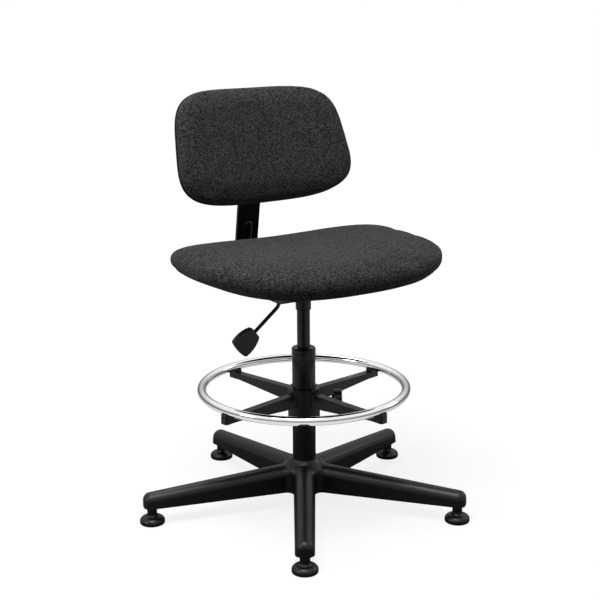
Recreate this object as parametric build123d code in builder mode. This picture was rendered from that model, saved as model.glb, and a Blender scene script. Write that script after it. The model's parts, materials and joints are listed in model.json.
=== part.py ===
"""Drafting chair: five-leg moulded base on glides, gas-spring column, chromed footring,
contoured upholstered seat on a steel mechanism, and a padded backrest on a bent flat bar.

Frame: origin on the floor under the column, +Z up, the seat faces -Y, the sitter's left is +X.
Lengths are in millimetres, angles in degrees.
"""

import math
import os

from build123d import *

# How the chair stands: the seat is swivelled this far from the base leg that points forwards
SEAT_TURN = 32.5

# Clearances
SLIDE_GAP = 0.3
FIT_GAP = 0.05
SHEET = 2.5

# Five-leg base
LEG_COUNT = 5
GLIDE_CIRCLE_R = 340.0
LEG_TIP_PAST = 18.0
LEG_ROOT_W = 48.0
LEG_TIP_W = 39.0
LEG_BOTTOM_Z = 38.0
LEG_ROOT_TOP_Z = 100.0
LEG_TIP_TOP_Z = 68.0
LEG_NOSE_ROUND = 15.0
LEG_WALL = 4.0
RIB_THICK = 3.0
RIB_COUNT = 3
HUB_RISE = 8.0
HUB_WALL = 6.0
HUB_FLARE = 19.0
HUB_SHOULDER_DROP = 12.0
HUB_BLEND_R = 14.0

# Glides
GLIDE_R = 26.5
GLIDE_RIM_H = 8.0
GLIDE_NECK_R = 10.5
GLIDE_NECK_Z = 24.0
STEM_R = 5.5
STEM_FOOT_Z = 14.0
STEM_COVER = 10.0

# Gas-spring column
TUBE_R = 25.0
TUBE_WALL = 2.0
TUBE_FOOT_Z = 40.0
TAPER_DEPTH = 6.0
TAPER_ANGLE = 1.44
TUBE_FLOOR = 4.0
COLLAR_PROUD = 0.8
COLLAR_BOTTOM_Z = 333.0
COLLAR_TOP_Z = 356.5
BUSH_LENGTH = 78.0
CYLINDER_R = 14.0
CYLINDER_WALL = 2.5
CYLINDER_BOTTOM_Z = 200.0
CYLINDER_TOP_DROP = 19.0
CYLINDER_TAPER = 1.0
CONE_LENGTH = 44.0
CONE_WALL = 2.5
GLAND_H = 12.0
VALVE_H = 8.0
ROD_R = 5.0
PISTON_Z = 300.0
PISTON_H = 15.0
PIN_R = 3.0
PIN_PROUD = 10.0
PIN_LENGTH = 34.0
RACE_THICK = 1.5
RACE_R = 14.0
BALL_R = 1.75
BALL_COUNT = 10
BALL_CIRCLE_R = 10.5
BUFFER_H = 14.0

# Footring
RING_R = 219.5
RING_TUBE_R = 9.5
RING_Z = 266.5
SPOKE_COUNT = 4
SPOKE_W = 18.0
SPOKE_PAST = 13.0
SPOKE_FLAT_IN = 22.0
SPOKE_TIP_H = 13.5
SPOKE_RISE = 4.0
SPOKE_ROOT_H = 28.5
SPOKE_CROTCH_ROUND = 10.0
RING_HUB_WALL = 9.5
RING_HUB_H = 67.0
RING_HUB_RISE = 8.5
SADDLE_L = 24.0
SADDLE_FLOOR = 2.5
SADDLE_LIP_DROP = 5.0
RING_KNOB_DROP = 18.5
RING_BOSS_OUT = 10.0
RING_BOSS_R = 10.0
RING_KNOB_STAND = 19.5

# Clamp knobs, all three alike
KNOB_R = 21.0
KNOB_H = 18.0
KNOB_LOBES = 6
KNOB_LOBE_R = 7.0
KNOB_STEM_GAP = 6.0
SCREW_R = 4.0
NUT_H = 5.0
NUT_R = 9.0

# Seat
SEAT_W = 542.6
SEAT_D = 449.2
SEAT_POWER = 2.97
SEAT_FORWARD = 14.5
SEAT_BOTTOM_Z = 503.0
SEAT_THICK = 80.0
SEAT_SIDE_LIFT = 26.0
SEAT_SIDE_TOP = 6.0
SEAT_FRONT_FALL = 5.0
SEAT_REAR_FALL = 23.0
SEAT_FLAT_HALF_W = 115.0
SEAT_TOP_ROUND = 32.0
SEAT_BOTTOM_ROUND = 22.0
BOARD_THICK = 12.0
BOARD_INSET = 45.0
BOARD_BACK = 10.0

# Seat mechanism
PAN_W = 156.0
PAN_FRONT_Y = -88.0
PAN_REAR_Y = 62.0
PAN_DEPTH = 37.0
PAN_CORNER_R = 16.0
FLANGE_OUT = 20.0
BOLT_R = 3.0
BOLT_HEAD_R = 6.5
BOLT_HEAD_H = 4.0
TEE_BARREL_R = 4.6
TEE_FLANGE_R = 9.0
TEE_FLANGE_H = 1.6

# Height lever
LEVER_PIVOT_X = -45.0
LEVER_ARM_T = 5.0
LEVER_EAR_T = 2.5
LEVER_PIN_R = 3.0
LEVER_ROD_R = 4.0
LEVER_DROP_X = -60.0
LEVER_ROD_RISE = 4.0
LEVER_BEND_DROP = 9.5
LEVER_BEND_R = 20.0
LEVER_SLOPE = 38.8
LEVER_RUN = 77.0
PADDLE_L = 50.0
PADDLE_NECK_W = 29.0
PADDLE_END_W = 46.0
PADDLE_BELLY_W = 50.0
PADDLE_T = 13.0
PADDLE_GRIP_IN = 16.0

# Bent back bar
BAR_W = 55.5
BAR_T = 6.0
BAR_DROP = 13.0
BAR_PAST_SEAT = 36.6
BAR_LEAN = 9.1
BAR_RISE = 174.0
BAR_UPPER_L = 160.0
BAR_BEND_R = 45.0
BAR_KNEE_R = 60.0
BEAD_W = 22.0
BEAD_H = 3.5
BEAD_RISE = 94.0

# Bar channel under the seat
CHANNEL_L = 86.0
CHANNEL_BEHIND_PAN = 4.0
CHANNEL_WALL = 3.0
CHANNEL_FLANGE = 20.0
BAR_END_IN = 12.0
DEPTH_KNOB_IN = 22.0

# Backrest
BACK_UP_BAR = 92.6
BACK_RECLINE = 16.8
BACK_W = 410.4
BACK_H = 251.0
BACK_POWER = 3.94
BACK_TAPER = -0.075
BACK_CURVE_R = 661.0
BACK_PAD_T = 39.0
BACK_PAD_ROUND = 22.0
SHELL_DEPTH = 21.0
SHELL_WALL = 3.0
SHELL_ROUND = 13.0
SHELL_LIP = 2.0
BACK_PANEL_T = 8.0
BRACKET_EAR = 14.2
BRACKET_H = 100.0
BRACKET_T = 3.0
SLEEVE_H = 80.0
SLEEVE_WALL = 3.5
SLEEVE_SHIFT = 8.0
SLEEVE_POCKET = 21.4
BACK_SCREW_IN_X = 6.0
BACK_SCREW_IN_T = 9.0

# Angles of the repeated arms, anticlockwise from +X
FRONT_LEG_ANGLE = 270.0 - SEAT_TURN
SPOKE_ANGLE = FRONT_LEG_ANGLE + 45.0
RING_KNOB_ANGLE = FRONT_LEG_ANGLE + 90.0

# Places and sizes that follow from the ones above
LEG_TIP_R = GLIDE_CIRCLE_R + LEG_TIP_PAST
STEM_TOP_Z = LEG_TIP_TOP_Z - STEM_COVER
HUB_TOP_R = TUBE_R + HUB_WALL
HUB_FLARE_R = HUB_TOP_R + HUB_FLARE
HUB_TOP_Z = LEG_ROOT_TOP_Z + HUB_RISE
HUB_SHOULDER_Z = LEG_ROOT_TOP_Z - HUB_SHOULDER_DROP
TAPER_TOP_Z = HUB_TOP_Z - TAPER_DEPTH
COLLAR_R = TUBE_R + COLLAR_PROUD
SEAT_TOP_Z = SEAT_BOTTOM_Z + SEAT_THICK
PAN_BOTTOM_Z = SEAT_BOTTOM_Z - PAN_DEPTH
CYLINDER_TOP_Z = SEAT_BOTTOM_Z - CYLINDER_TOP_DROP
CYLINDER_TOP_R = CYLINDER_R - CYLINDER_TAPER
CONE_BOTTOM_Z = CYLINDER_TOP_Z - CONE_LENGTH
CONE_R = CYLINDER_R + CONE_WALL
LEVER_PIVOT_Z = CYLINDER_TOP_Z
LEVER_ROD_TOP_Z = LEVER_PIVOT_Z + LEVER_ROD_RISE
LEVER_BEND_Z = PAN_BOTTOM_Z - LEVER_BEND_DROP
SPOKE_TIP_R = RING_R + SPOKE_PAST
SPOKE_FLAT_R = RING_R - SPOKE_FLAT_IN
SPOKE_TIP_TOP_Z = RING_Z - RING_TUBE_R - SADDLE_FLOOR
SPOKE_ROOT_TOP_Z = SPOKE_TIP_TOP_Z + SPOKE_RISE
SADDLE_TOP_Z = RING_Z - SADDLE_LIP_DROP
RING_HUB_R = TUBE_R + RING_HUB_WALL
RING_HUB_TOP_Z = SPOKE_ROOT_TOP_Z + RING_HUB_RISE
RING_HUB_BOTTOM_Z = RING_HUB_TOP_Z - RING_HUB_H
RING_KNOB_Z = SPOKE_ROOT_TOP_Z - RING_KNOB_DROP
RING_KNOB_SEAT_R = RING_HUB_R + RING_BOSS_OUT
CHANNEL_FRONT_Y = PAN_REAR_Y + FLANGE_OUT + CHANNEL_BEHIND_PAN
CHANNEL_REAR_Y = CHANNEL_FRONT_Y + CHANNEL_L
DEPTH_KNOB_Y = CHANNEL_REAR_Y - DEPTH_KNOB_IN
BAR_Z = SEAT_BOTTOM_Z - BAR_DROP
BAR_FRONT_Y = CHANNEL_FRONT_Y + BAR_END_IN
BAR_CORNER_Y = SEAT_D / 2 - SEAT_FORWARD + BAR_PAST_SEAT
BAR_KNEE_Z = BAR_Z + BAR_RISE
BEAD_TOP_Z = BAR_Z + BEAD_RISE
SLEEVE_IN = BAR_W / 2 + SLIDE_GAP
BRACKET_W = 2 * (SLEEVE_IN + SLEEVE_WALL + BRACKET_EAR)
BACK_SCREW_X = BRACKET_W / 2 - BACK_SCREW_IN_X
BACK_SCREW_T = BRACKET_H / 2 - BACK_SCREW_IN_T
PLATE_B = SHELL_DEPTH + 1
BAR_BEHIND = PLATE_B + BRACKET_T + SLEEVE_POCKET + SLEEVE_WALL + SLIDE_GAP + BAR_T / 2


def unit(angle):
    """Horizontal unit vector at an angle from +X."""
    return Vector(math.cos(math.radians(angle)), math.sin(math.radians(angle)), 0)


def superellipse(half_w, half_h, power, taper=0.0, count=32):
    """Points of |x/half_w|^power + |y/half_h|^power = 1, widened by taper towards +y."""
    points = []
    for step in range(count):
        turn = 2 * math.pi * step / count
        c = math.cos(turn)
        s = math.sin(turn)
        x = math.copysign(abs(c) ** (2 / power), c)
        y = math.copysign(abs(s) ** (2 / power), s)
        points.append((half_w * x * (1 + taper * y), half_h * y))
    return points


def turned(points, centre=Vector(0, 0, 0)):
    """Solid of revolution about an upright axis from (radius, height) corners."""
    with BuildPart() as body:
        with BuildSketch(Plane(centre, x_dir=(1, 0, 0), z_dir=(0, -1, 0))):
            with BuildLine():
                Polyline(*points, close=True)
            make_face()
        revolve(axis=Axis(centre, (0, 0, 1)))
    return body


def bar_round(plane, radius, start, end):
    """Round bar square to a plane, between two distances along its normal."""
    with BuildPart() as body:
        with BuildSketch(plane.offset(start)):
            Circle(radius)
        extrude(amount=end - start)
    return body


def clamp_knob(seat, tip_reach, stand=KNOB_STEM_GAP):
    """Star knob held off a plane by a stand, and its screw reaching back through the plane."""
    with BuildPart() as knob:
        with BuildSketch(seat.offset(stand)):
            Circle(KNOB_R)
            with PolarLocations(KNOB_R + 0.55 * KNOB_LOBE_R, KNOB_LOBES):
                Circle(KNOB_LOBE_R, mode=Mode.SUBTRACT)
        extrude(amount=KNOB_H)
        faces = knob.faces().sort_by(Axis(seat.origin, seat.z_dir))
        fillet(faces[-1].edges() + faces[0].edges(), 1.5)
        with BuildSketch(seat.offset(stand - 4)):
            Circle(KNOB_R * 0.5)
        extrude(amount=4)
        with BuildSketch(seat.offset(stand - 4)):
            Circle(SCREW_R)
        extrude(amount=4 + KNOB_H * 0.6, mode=Mode.SUBTRACT)
    screw = bar_round(seat, SCREW_R, -tip_reach, stand + KNOB_H * 0.6)
    return knob, screw


pieces = []


def keep(block, label):
    """Names a finished piece and puts it on the list to be written."""
    block.part.label = label
    pieces.append(block.part)


# Five-leg base: one arched, hollow, ribbed leg is repeated round a flared hub
def leg_half_width(radius):
    return (LEG_ROOT_W + (LEG_TIP_W - LEG_ROOT_W) * radius / LEG_TIP_R) / 2


def leg_top(radius):
    return LEG_ROOT_TOP_Z + (LEG_TIP_TOP_Z - LEG_ROOT_TOP_Z) * radius / LEG_TIP_R


LEG_DRAFT = 1.2
LEG_ARCH = 0.86
CAVITY_INNER_R = HUB_FLARE_R + 14
CAVITY_OUTER_R = GLIDE_CIRCLE_R - GLIDE_NECK_R - LEG_WALL

with BuildPart() as leg:
    for radius in (HUB_TOP_R - 1, LEG_TIP_R):
        half = leg_half_width(radius)
        spring = leg_top(radius) - LEG_ARCH * half
        with BuildSketch(Plane((radius, 0, 0), x_dir=(0, 1, 0), z_dir=(1, 0, 0))):
            with BuildLine():
                Polyline(
                    (LEG_DRAFT - half, spring),
                    (-half, LEG_BOTTOM_Z),
                    (half, LEG_BOTTOM_Z),
                    (half - LEG_DRAFT, spring),
                )
                ThreePointArc((half - LEG_DRAFT, spring), (0, leg_top(radius)), (LEG_DRAFT - half, spring))
            make_face()
    loft()
    nose = leg.edges().filter_by(
        lambda e: abs(e.center().X - LEG_TIP_R) < 0.01 and e.center().Z > LEG_BOTTOM_Z + 1
    )
    fillet(nose, LEG_NOSE_ROUND)

with BuildPart() as leg_cavity:
    for radius in (CAVITY_INNER_R, CAVITY_OUTER_R):
        half = leg_half_width(radius) - LEG_WALL
        spring = leg_top(radius) - LEG_WALL - LEG_ARCH * half
        with BuildSketch(Plane((radius, 0, 0), x_dir=(0, 1, 0), z_dir=(1, 0, 0))):
            with BuildLine():
                Polyline(
                    (LEG_DRAFT - half, spring),
                    (-half, LEG_BOTTOM_Z - 1),
                    (half, LEG_BOTTOM_Z - 1),
                    (half - LEG_DRAFT, spring),
                )
                ThreePointArc(
                    (half - LEG_DRAFT, spring), (0, leg_top(radius) - LEG_WALL), (LEG_DRAFT - half, spring)
                )
            make_face()
    loft()
    for rib in range(1, RIB_COUNT + 1):
        rib_r = CAVITY_INNER_R + (CAVITY_OUTER_R - CAVITY_INNER_R) * rib / (RIB_COUNT + 1)
        with BuildSketch(Plane((rib_r, 0, 0), x_dir=(0, 1, 0), z_dir=(1, 0, 0))):
            with Locations((0, LEG_ROOT_TOP_Z)):
                Rectangle(LEG_ROOT_W, 2 * (LEG_ROOT_TOP_Z - LEG_BOTTOM_Z) - 8)
        extrude(amount=RIB_THICK, mode=Mode.SUBTRACT)


def taper_r(height):
    """Outside radius of the column tube at a height."""
    return min(TUBE_R, TUBE_R - (TAPER_TOP_Z - height) * math.tan(math.radians(TAPER_ANGLE)))


with BuildPart() as base_star:
    with BuildSketch(Plane.XZ):
        with BuildLine():
            Polyline(
                (HUB_FLARE_R, HUB_SHOULDER_Z),
                (HUB_FLARE_R, LEG_BOTTOM_Z),
                (0, LEG_BOTTOM_Z),
                (0, HUB_TOP_Z),
                (HUB_TOP_R, HUB_TOP_Z),
            )
            Spline(
                (HUB_TOP_R, HUB_TOP_Z), (HUB_FLARE_R, HUB_SHOULDER_Z), tangents=[(0.5, -1), (0.75, -1)]
            )
        make_face()
    revolve(axis=Axis.Z)
    with PolarLocations(0, LEG_COUNT, start_angle=FRONT_LEG_ANGLE):
        add(leg.part)
    joints = base_star.edges().filter_by(
        lambda e: Vector(e.center().X, e.center().Y, 0).length < HUB_FLARE_R * 1.5
        and LEG_BOTTOM_Z + 3 < e.center().Z < HUB_TOP_Z - 2
    )
    fillet(joints, HUB_BLEND_R)
    with PolarLocations(0, LEG_COUNT, start_angle=FRONT_LEG_ANGLE):
        add(leg_cavity.part, mode=Mode.SUBTRACT)
    with BuildSketch(Plane.XZ):
        with BuildLine():
            Polyline(
                (0, LEG_BOTTOM_Z - 1),
                (taper_r(LEG_BOTTOM_Z - 1) + FIT_GAP, LEG_BOTTOM_Z - 1),
                (TUBE_R + FIT_GAP, TAPER_TOP_Z),
                (TUBE_R + FIT_GAP, HUB_TOP_Z + 1),
                (0, HUB_TOP_Z + 1),
                close=True,
            )
        make_face()
    revolve(axis=Axis.Z, mode=Mode.SUBTRACT)
    with BuildSketch(Plane.XY.offset(LEG_BOTTOM_Z - 1)):
        with PolarLocations(GLIDE_CIRCLE_R, LEG_COUNT, start_angle=FRONT_LEG_ANGLE):
            Circle(STEM_R + FIT_GAP)
    extrude(amount=STEM_TOP_Z + 2 - LEG_BOTTOM_Z, mode=Mode.SUBTRACT)
keep(base_star, "base_star")

# Glides: a moulded bell foot on a steel stem under each leg tip
for number in range(LEG_COUNT):
    centre = unit(FRONT_LEG_ANGLE + number * 360 / LEG_COUNT) * GLIDE_CIRCLE_R
    with BuildPart() as glide:
        with BuildSketch(Plane(centre, x_dir=(1, 0, 0), z_dir=(0, -1, 0))):
            with BuildLine():
                Line((0, 0), (GLIDE_R - 3, 0))
                ThreePointArc((GLIDE_R - 3, 0), (GLIDE_R - 0.88, 0.88), (GLIDE_R, 3))
                Line((GLIDE_R, 3), (GLIDE_R, GLIDE_RIM_H))
                ThreePointArc(
                    (GLIDE_R, GLIDE_RIM_H), (GLIDE_R - 3.5, GLIDE_RIM_H + 5.2), (GLIDE_NECK_R + 4.5, 16)
                )
                ThreePointArc(
                    (GLIDE_NECK_R + 4.5, 16), (GLIDE_NECK_R + 1.1, 18.8), (GLIDE_NECK_R, GLIDE_NECK_Z)
                )
                Polyline(
                    (GLIDE_NECK_R, GLIDE_NECK_Z),
                    (GLIDE_NECK_R, LEG_BOTTOM_Z),
                    (STEM_R + FIT_GAP, LEG_BOTTOM_Z),
                    (STEM_R + FIT_GAP, STEM_FOOT_Z),
                    (0, STEM_FOOT_Z),
                    (0, 0),
                )
            make_face()
        revolve(axis=Axis(centre, (0, 0, 1)))
    keep(glide, f"glide_{number + 1}")

with BuildPart() as glide_stems:
    with BuildSketch(Plane.XY.offset(STEM_FOOT_Z)):
        with PolarLocations(GLIDE_CIRCLE_R, LEG_COUNT, start_angle=FRONT_LEG_ANGLE):
            Circle(STEM_R)
    extrude(amount=STEM_TOP_Z - STEM_FOOT_Z)
keep(glide_stems, "glide_stems")

# Column: tapered outer tube with a closed foot, moulded guide bush and collar at its top
TUBE_IN_R = TUBE_R - TUBE_WALL
FLOOR_Z = TUBE_FOOT_Z + TUBE_FLOOR
column_tube = turned(
    [
        (ROD_R + 3, TUBE_FOOT_Z),
        (taper_r(TUBE_FOOT_Z), TUBE_FOOT_Z),
        (TUBE_R, TAPER_TOP_Z),
        (TUBE_R, COLLAR_BOTTOM_Z),
        (TUBE_IN_R, COLLAR_BOTTOM_Z),
        (TUBE_IN_R, TAPER_TOP_Z),
        (taper_r(FLOOR_Z) - TUBE_WALL, FLOOR_Z),
        (ROD_R + 3, FLOOR_Z),
    ]
)
keep(column_tube, "column_tube")

guide_bush = turned(
    [
        (CYLINDER_R + FIT_GAP, COLLAR_BOTTOM_Z - BUSH_LENGTH),
        (TUBE_IN_R - FIT_GAP, COLLAR_BOTTOM_Z - BUSH_LENGTH),
        (TUBE_IN_R - FIT_GAP, COLLAR_BOTTOM_Z),
        (COLLAR_R, COLLAR_BOTTOM_Z),
        (COLLAR_R, COLLAR_TOP_Z - 11),
        (COLLAR_R - 0.8, COLLAR_TOP_Z - 10.5),
        (COLLAR_R - 0.8, COLLAR_TOP_Z - 9.5),
        (COLLAR_R, COLLAR_TOP_Z - 9),
        (COLLAR_R, COLLAR_TOP_Z - 2),
        (COLLAR_R - 2, COLLAR_TOP_Z),
        (CYLINDER_R + FIT_GAP, COLLAR_TOP_Z),
    ]
)
keep(guide_bush, "guide_bush")

# Thrust bearing, rod and piston inside the column
BALL_Z = FLOOR_Z + RACE_THICK + BALL_R + FIT_GAP
UPPER_RACE_Z = BALL_Z + BALL_R + FIT_GAP
SHOULDER_Z = UPPER_RACE_Z + RACE_THICK
SHOULDER_R = ROD_R + 2.5
SHOULDER_H = 5.5

bearing_race_lower = turned(
    [
        (ROD_R + 0.5, FLOOR_Z),
        (RACE_R, FLOOR_Z),
        (RACE_R, FLOOR_Z + RACE_THICK),
        (ROD_R + 0.5, FLOOR_Z + RACE_THICK),
    ]
)
keep(bearing_race_lower, "bearing_race_lower")

with BuildPart() as bearing_balls:
    with Locations((0, 0, BALL_Z)):
        with PolarLocations(BALL_CIRCLE_R, BALL_COUNT):
            Sphere(BALL_R)
keep(bearing_balls, "bearing_balls")

bearing_race_upper = turned(
    [
        (ROD_R + FIT_GAP, UPPER_RACE_Z),
        (RACE_R, UPPER_RACE_Z),
        (RACE_R, SHOULDER_Z),
        (ROD_R + FIT_GAP, SHOULDER_Z),
    ]
)
keep(bearing_race_upper, "bearing_race_upper")

piston_rod = turned(
    [
        (0, TUBE_FOOT_Z - 6),
        (ROD_R, TUBE_FOOT_Z - 6),
        (ROD_R, SHOULDER_Z),
        (SHOULDER_R, SHOULDER_Z),
        (SHOULDER_R, SHOULDER_Z + SHOULDER_H),
        (ROD_R, SHOULDER_Z + SHOULDER_H),
        (ROD_R, PISTON_Z),
        (0, PISTON_Z),
    ]
)
keep(piston_rod, "piston_rod")

CYLINDER_IN_R = CYLINDER_R - CYLINDER_WALL - 0.5
piston = turned(
    [
        (0, PISTON_Z),
        (CYLINDER_IN_R - SLIDE_GAP, PISTON_Z),
        (CYLINDER_IN_R - SLIDE_GAP, PISTON_Z + PISTON_H * 0.4),
        (CYLINDER_IN_R - 2, PISTON_Z + PISTON_H * 0.4),
        (CYLINDER_IN_R - 2, PISTON_Z + PISTON_H * 0.6),
        (CYLINDER_IN_R - SLIDE_GAP, PISTON_Z + PISTON_H * 0.6),
        (CYLINDER_IN_R - SLIDE_GAP, PISTON_Z + PISTON_H),
        (0, PISTON_Z + PISTON_H),
    ]
)
keep(piston, "piston")

rod_clip = turned(
    [
        (ROD_R + FIT_GAP, TUBE_FOOT_Z - 3.5),
        (ROD_R + 5, TUBE_FOOT_Z - 3.5),
        (ROD_R + 5, TUBE_FOOT_Z - SLIDE_GAP),
        (ROD_R + FIT_GAP, TUBE_FOOT_Z - SLIDE_GAP),
    ]
)
keep(rod_clip, "rod_clip")

BUFFER_Z = SHOULDER_Z + SHOULDER_H
rubber_buffer = turned(
    [
        (ROD_R + FIT_GAP, BUFFER_Z),
        (ROD_R + 7, BUFFER_Z),
        (ROD_R + 7, BUFFER_Z + BUFFER_H - 3),
        (ROD_R + 4, BUFFER_Z + BUFFER_H),
        (ROD_R + FIT_GAP, BUFFER_Z + BUFFER_H),
    ]
)
keep(rubber_buffer, "rubber_buffer")

# Pressure cylinder that rises out of the column, its release pin, and the cone it is held by
VALVE_Z = CYLINDER_TOP_Z - VALVE_H
pressure_cylinder = turned(
    [
        (ROD_R + FIT_GAP, CYLINDER_BOTTOM_Z),
        (CYLINDER_R - 1, CYLINDER_BOTTOM_Z),
        (CYLINDER_R, CYLINDER_BOTTOM_Z + 1),
        (CYLINDER_R, CONE_BOTTOM_Z),
        (CYLINDER_TOP_R, CYLINDER_TOP_Z),
        (PIN_R + FIT_GAP, CYLINDER_TOP_Z),
        (PIN_R + FIT_GAP, VALVE_Z),
        (CYLINDER_IN_R, VALVE_Z),
        (CYLINDER_IN_R, CYLINDER_BOTTOM_Z + GLAND_H),
        (ROD_R + FIT_GAP, CYLINDER_BOTTOM_Z + GLAND_H),
    ]
)
keep(pressure_cylinder, "pressure_cylinder")

PIN_TOP_Z = CYLINDER_TOP_Z + PIN_PROUD
release_pin = turned(
    [
        (0, PIN_TOP_Z - PIN_LENGTH),
        (PIN_R, PIN_TOP_Z - PIN_LENGTH),
        (PIN_R, PIN_TOP_Z - 1),
        (PIN_R - 1, PIN_TOP_Z),
        (0, PIN_TOP_Z),
    ]
)
keep(release_pin, "release_pin")

PAN_FLOOR_Z = PAN_BOTTOM_Z + SHEET
cone_socket = turned(
    [
        (CYLINDER_R + FIT_GAP, CONE_BOTTOM_Z),
        (CONE_R - 0.6, CONE_BOTTOM_Z),
        (CONE_R, CONE_BOTTOM_Z + 1),
        (CONE_R, PAN_FLOOR_Z),
        (CONE_R + 8, PAN_FLOOR_Z),
        (CONE_R + 8, PAN_FLOOR_Z + 4),
        (CONE_R, PAN_FLOOR_Z + 4),
        (CONE_R, CYLINDER_TOP_Z),
        (CYLINDER_TOP_R + FIT_GAP, CYLINDER_TOP_Z),
    ]
)
keep(cone_socket, "cone_socket")

# Pressed-steel mechanism pan with its flange, lever slot and pivot ears
PAN_MID_Y = (PAN_FRONT_Y + PAN_REAR_Y) / 2
PAN_D = PAN_REAR_Y - PAN_FRONT_Y
FLANGE_Z = SEAT_BOTTOM_Z - SHEET
BOLT_X = PAN_W / 2 + FLANGE_OUT / 2
BOLT_SPOTS = [
    (side * BOLT_X, PAN_MID_Y + end * PAN_D * 0.32) for side in (-1, 1) for end in (-1, 1)
]
EAR_Y = LEVER_ARM_T / 2 + SLIDE_GAP
LEVER_PLANE = Plane((0, 0, 0), x_dir=(1, 0, 0), z_dir=(0, -1, 0))

with BuildPart() as mech_pan:
    with BuildSketch(Plane.XY.offset(PAN_BOTTOM_Z)):
        with Locations((0, PAN_MID_Y)):
            RectangleRounded(PAN_W, PAN_D, PAN_CORNER_R)
    extrude(amount=PAN_DEPTH)
    fillet(mech_pan.faces().sort_by(Axis.Z)[0].edges(), 5)
    with BuildSketch(Plane.XY.offset(FLANGE_Z)):
        with Locations((0, PAN_MID_Y)):
            RectangleRounded(PAN_W + 2 * FLANGE_OUT, PAN_D + 2 * FLANGE_OUT, PAN_CORNER_R)
    extrude(amount=SHEET)
    with BuildSketch(Plane.XY.offset(PAN_FLOOR_Z)):
        with Locations((0, PAN_MID_Y)):
            RectangleRounded(PAN_W - 2 * SHEET, PAN_D - 2 * SHEET, PAN_CORNER_R - SHEET)
    extrude(amount=PAN_DEPTH, mode=Mode.SUBTRACT)
    with BuildSketch(Plane.XY.offset(PAN_BOTTOM_Z - 1)):
        Circle(CONE_R + FIT_GAP)
        with Locations((LEVER_DROP_X - 2, 0)):
            RectangleRounded(22, 14, 5)
    extrude(amount=SHEET + 2, mode=Mode.SUBTRACT)
    with BuildSketch(Plane.XY.offset(FLANGE_Z - 1)):
        with Locations(*BOLT_SPOTS):
            Circle(BOLT_R + SLIDE_GAP)
    extrude(amount=SHEET + 2, mode=Mode.SUBTRACT)
    for near in (EAR_Y, -EAR_Y - LEVER_EAR_T):
        with BuildSketch(LEVER_PLANE.offset(near)):
            with Locations((LEVER_PIVOT_X, (PAN_FLOOR_Z + LEVER_PIVOT_Z) / 2)):
                Rectangle(16, LEVER_PIVOT_Z - PAN_FLOOR_Z)
            with Locations((LEVER_PIVOT_X, LEVER_PIVOT_Z)):
                Circle(8)
                Circle(LEVER_PIN_R + FIT_GAP, mode=Mode.SUBTRACT)
        extrude(amount=LEVER_EAR_T)
keep(mech_pan, "mech_pan")

# Height lever: rocking arm on a pin, bent rod and moulded paddle
ARM_PAD_Z = PIN_TOP_Z + SLIDE_GAP
with BuildPart() as lever_arm:
    with BuildSketch(LEVER_PLANE) as arm_sketch:
        Polygon(
            (7, ARM_PAD_Z),
            (7, ARM_PAD_Z + 6),
            (-22, ARM_PAD_Z + 6.5),
            (LEVER_PIVOT_X, LEVER_PIVOT_Z + 10),
            (LEVER_DROP_X - 8, LEVER_ROD_TOP_Z + 8),
            (LEVER_DROP_X - 8, LEVER_ROD_TOP_Z),
            (LEVER_DROP_X + 6, LEVER_ROD_TOP_Z),
            (LEVER_PIVOT_X, LEVER_PIVOT_Z - 6),
            (-24, ARM_PAD_Z - 3),
            (-8, ARM_PAD_Z),
            align=None,
        )
        with Locations((LEVER_PIVOT_X, LEVER_PIVOT_Z)):
            Circle(8)
            Circle(LEVER_PIN_R + FIT_GAP, mode=Mode.SUBTRACT)
    extrude(amount=LEVER_ARM_T / 2, both=True)
keep(lever_arm, "lever_arm")

PIN_SEAT = Plane((LEVER_PIVOT_X, 0, LEVER_PIVOT_Z), x_dir=(1, 0, 0), z_dir=(0, -1, 0))
lever_pin = bar_round(PIN_SEAT, LEVER_PIN_R, -EAR_Y - LEVER_EAR_T - 2, EAR_Y + LEVER_EAR_T + 2)
keep(lever_pin, "lever_pin")

SLOPE = math.radians(LEVER_SLOPE)
ROD_DIR = Vector(-math.cos(SLOPE), 0, -math.sin(SLOPE))
ROD_BEND = Vector(LEVER_DROP_X, 0, LEVER_BEND_Z)
PADDLE_NECK = ROD_BEND + ROD_DIR * LEVER_RUN
ROD_END = ROD_BEND + ROD_DIR * (LEVER_RUN + PADDLE_GRIP_IN)

with BuildPart() as lever_rod:
    with BuildLine() as rod_path:
        FilletPolyline((LEVER_DROP_X, 0, LEVER_ROD_TOP_Z), ROD_BEND, ROD_END, radius=LEVER_BEND_R)
    with BuildSketch(Plane((LEVER_DROP_X, 0, LEVER_ROD_TOP_Z), z_dir=(0, 0, -1))):
        Circle(LEVER_ROD_R)
    sweep(path=rod_path.line)
keep(lever_rod, "lever_rod")

PADDLE_PLANE = Plane(PADDLE_NECK, x_dir=ROD_DIR, z_dir=(0, -1, 0))
with BuildPart() as lever_paddle:
    with BuildSketch(PADDLE_PLANE) as paddle_sketch:
        neck = PADDLE_NECK_W / 2
        belly = PADDLE_BELLY_W / 2
        end = PADDLE_END_W / 2
        with BuildLine():
            Line((0, -neck), (0, neck))
            ThreePointArc((0, neck), (PADDLE_L * 0.5, belly - 1), (PADDLE_L, end))
            ThreePointArc((PADDLE_L, end), (PADDLE_L + 3, 0), (PADDLE_L, -end))
            ThreePointArc((PADDLE_L, -end), (PADDLE_L * 0.5, 1 - belly), (0, -neck))
        make_face()
        fillet(paddle_sketch.vertices(), 5)
    extrude(amount=PADDLE_T / 2, both=True)
    fillet(lever_paddle.faces().filter_by(Axis.Y).edges(), 3)
    with BuildSketch(Plane(PADDLE_NECK - ROD_DIR * 2, z_dir=ROD_DIR)):
        Circle(LEVER_ROD_R)
    extrude(amount=PADDLE_GRIP_IN + 2, mode=Mode.SUBTRACT)
keep(lever_paddle, "lever_paddle")

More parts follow.
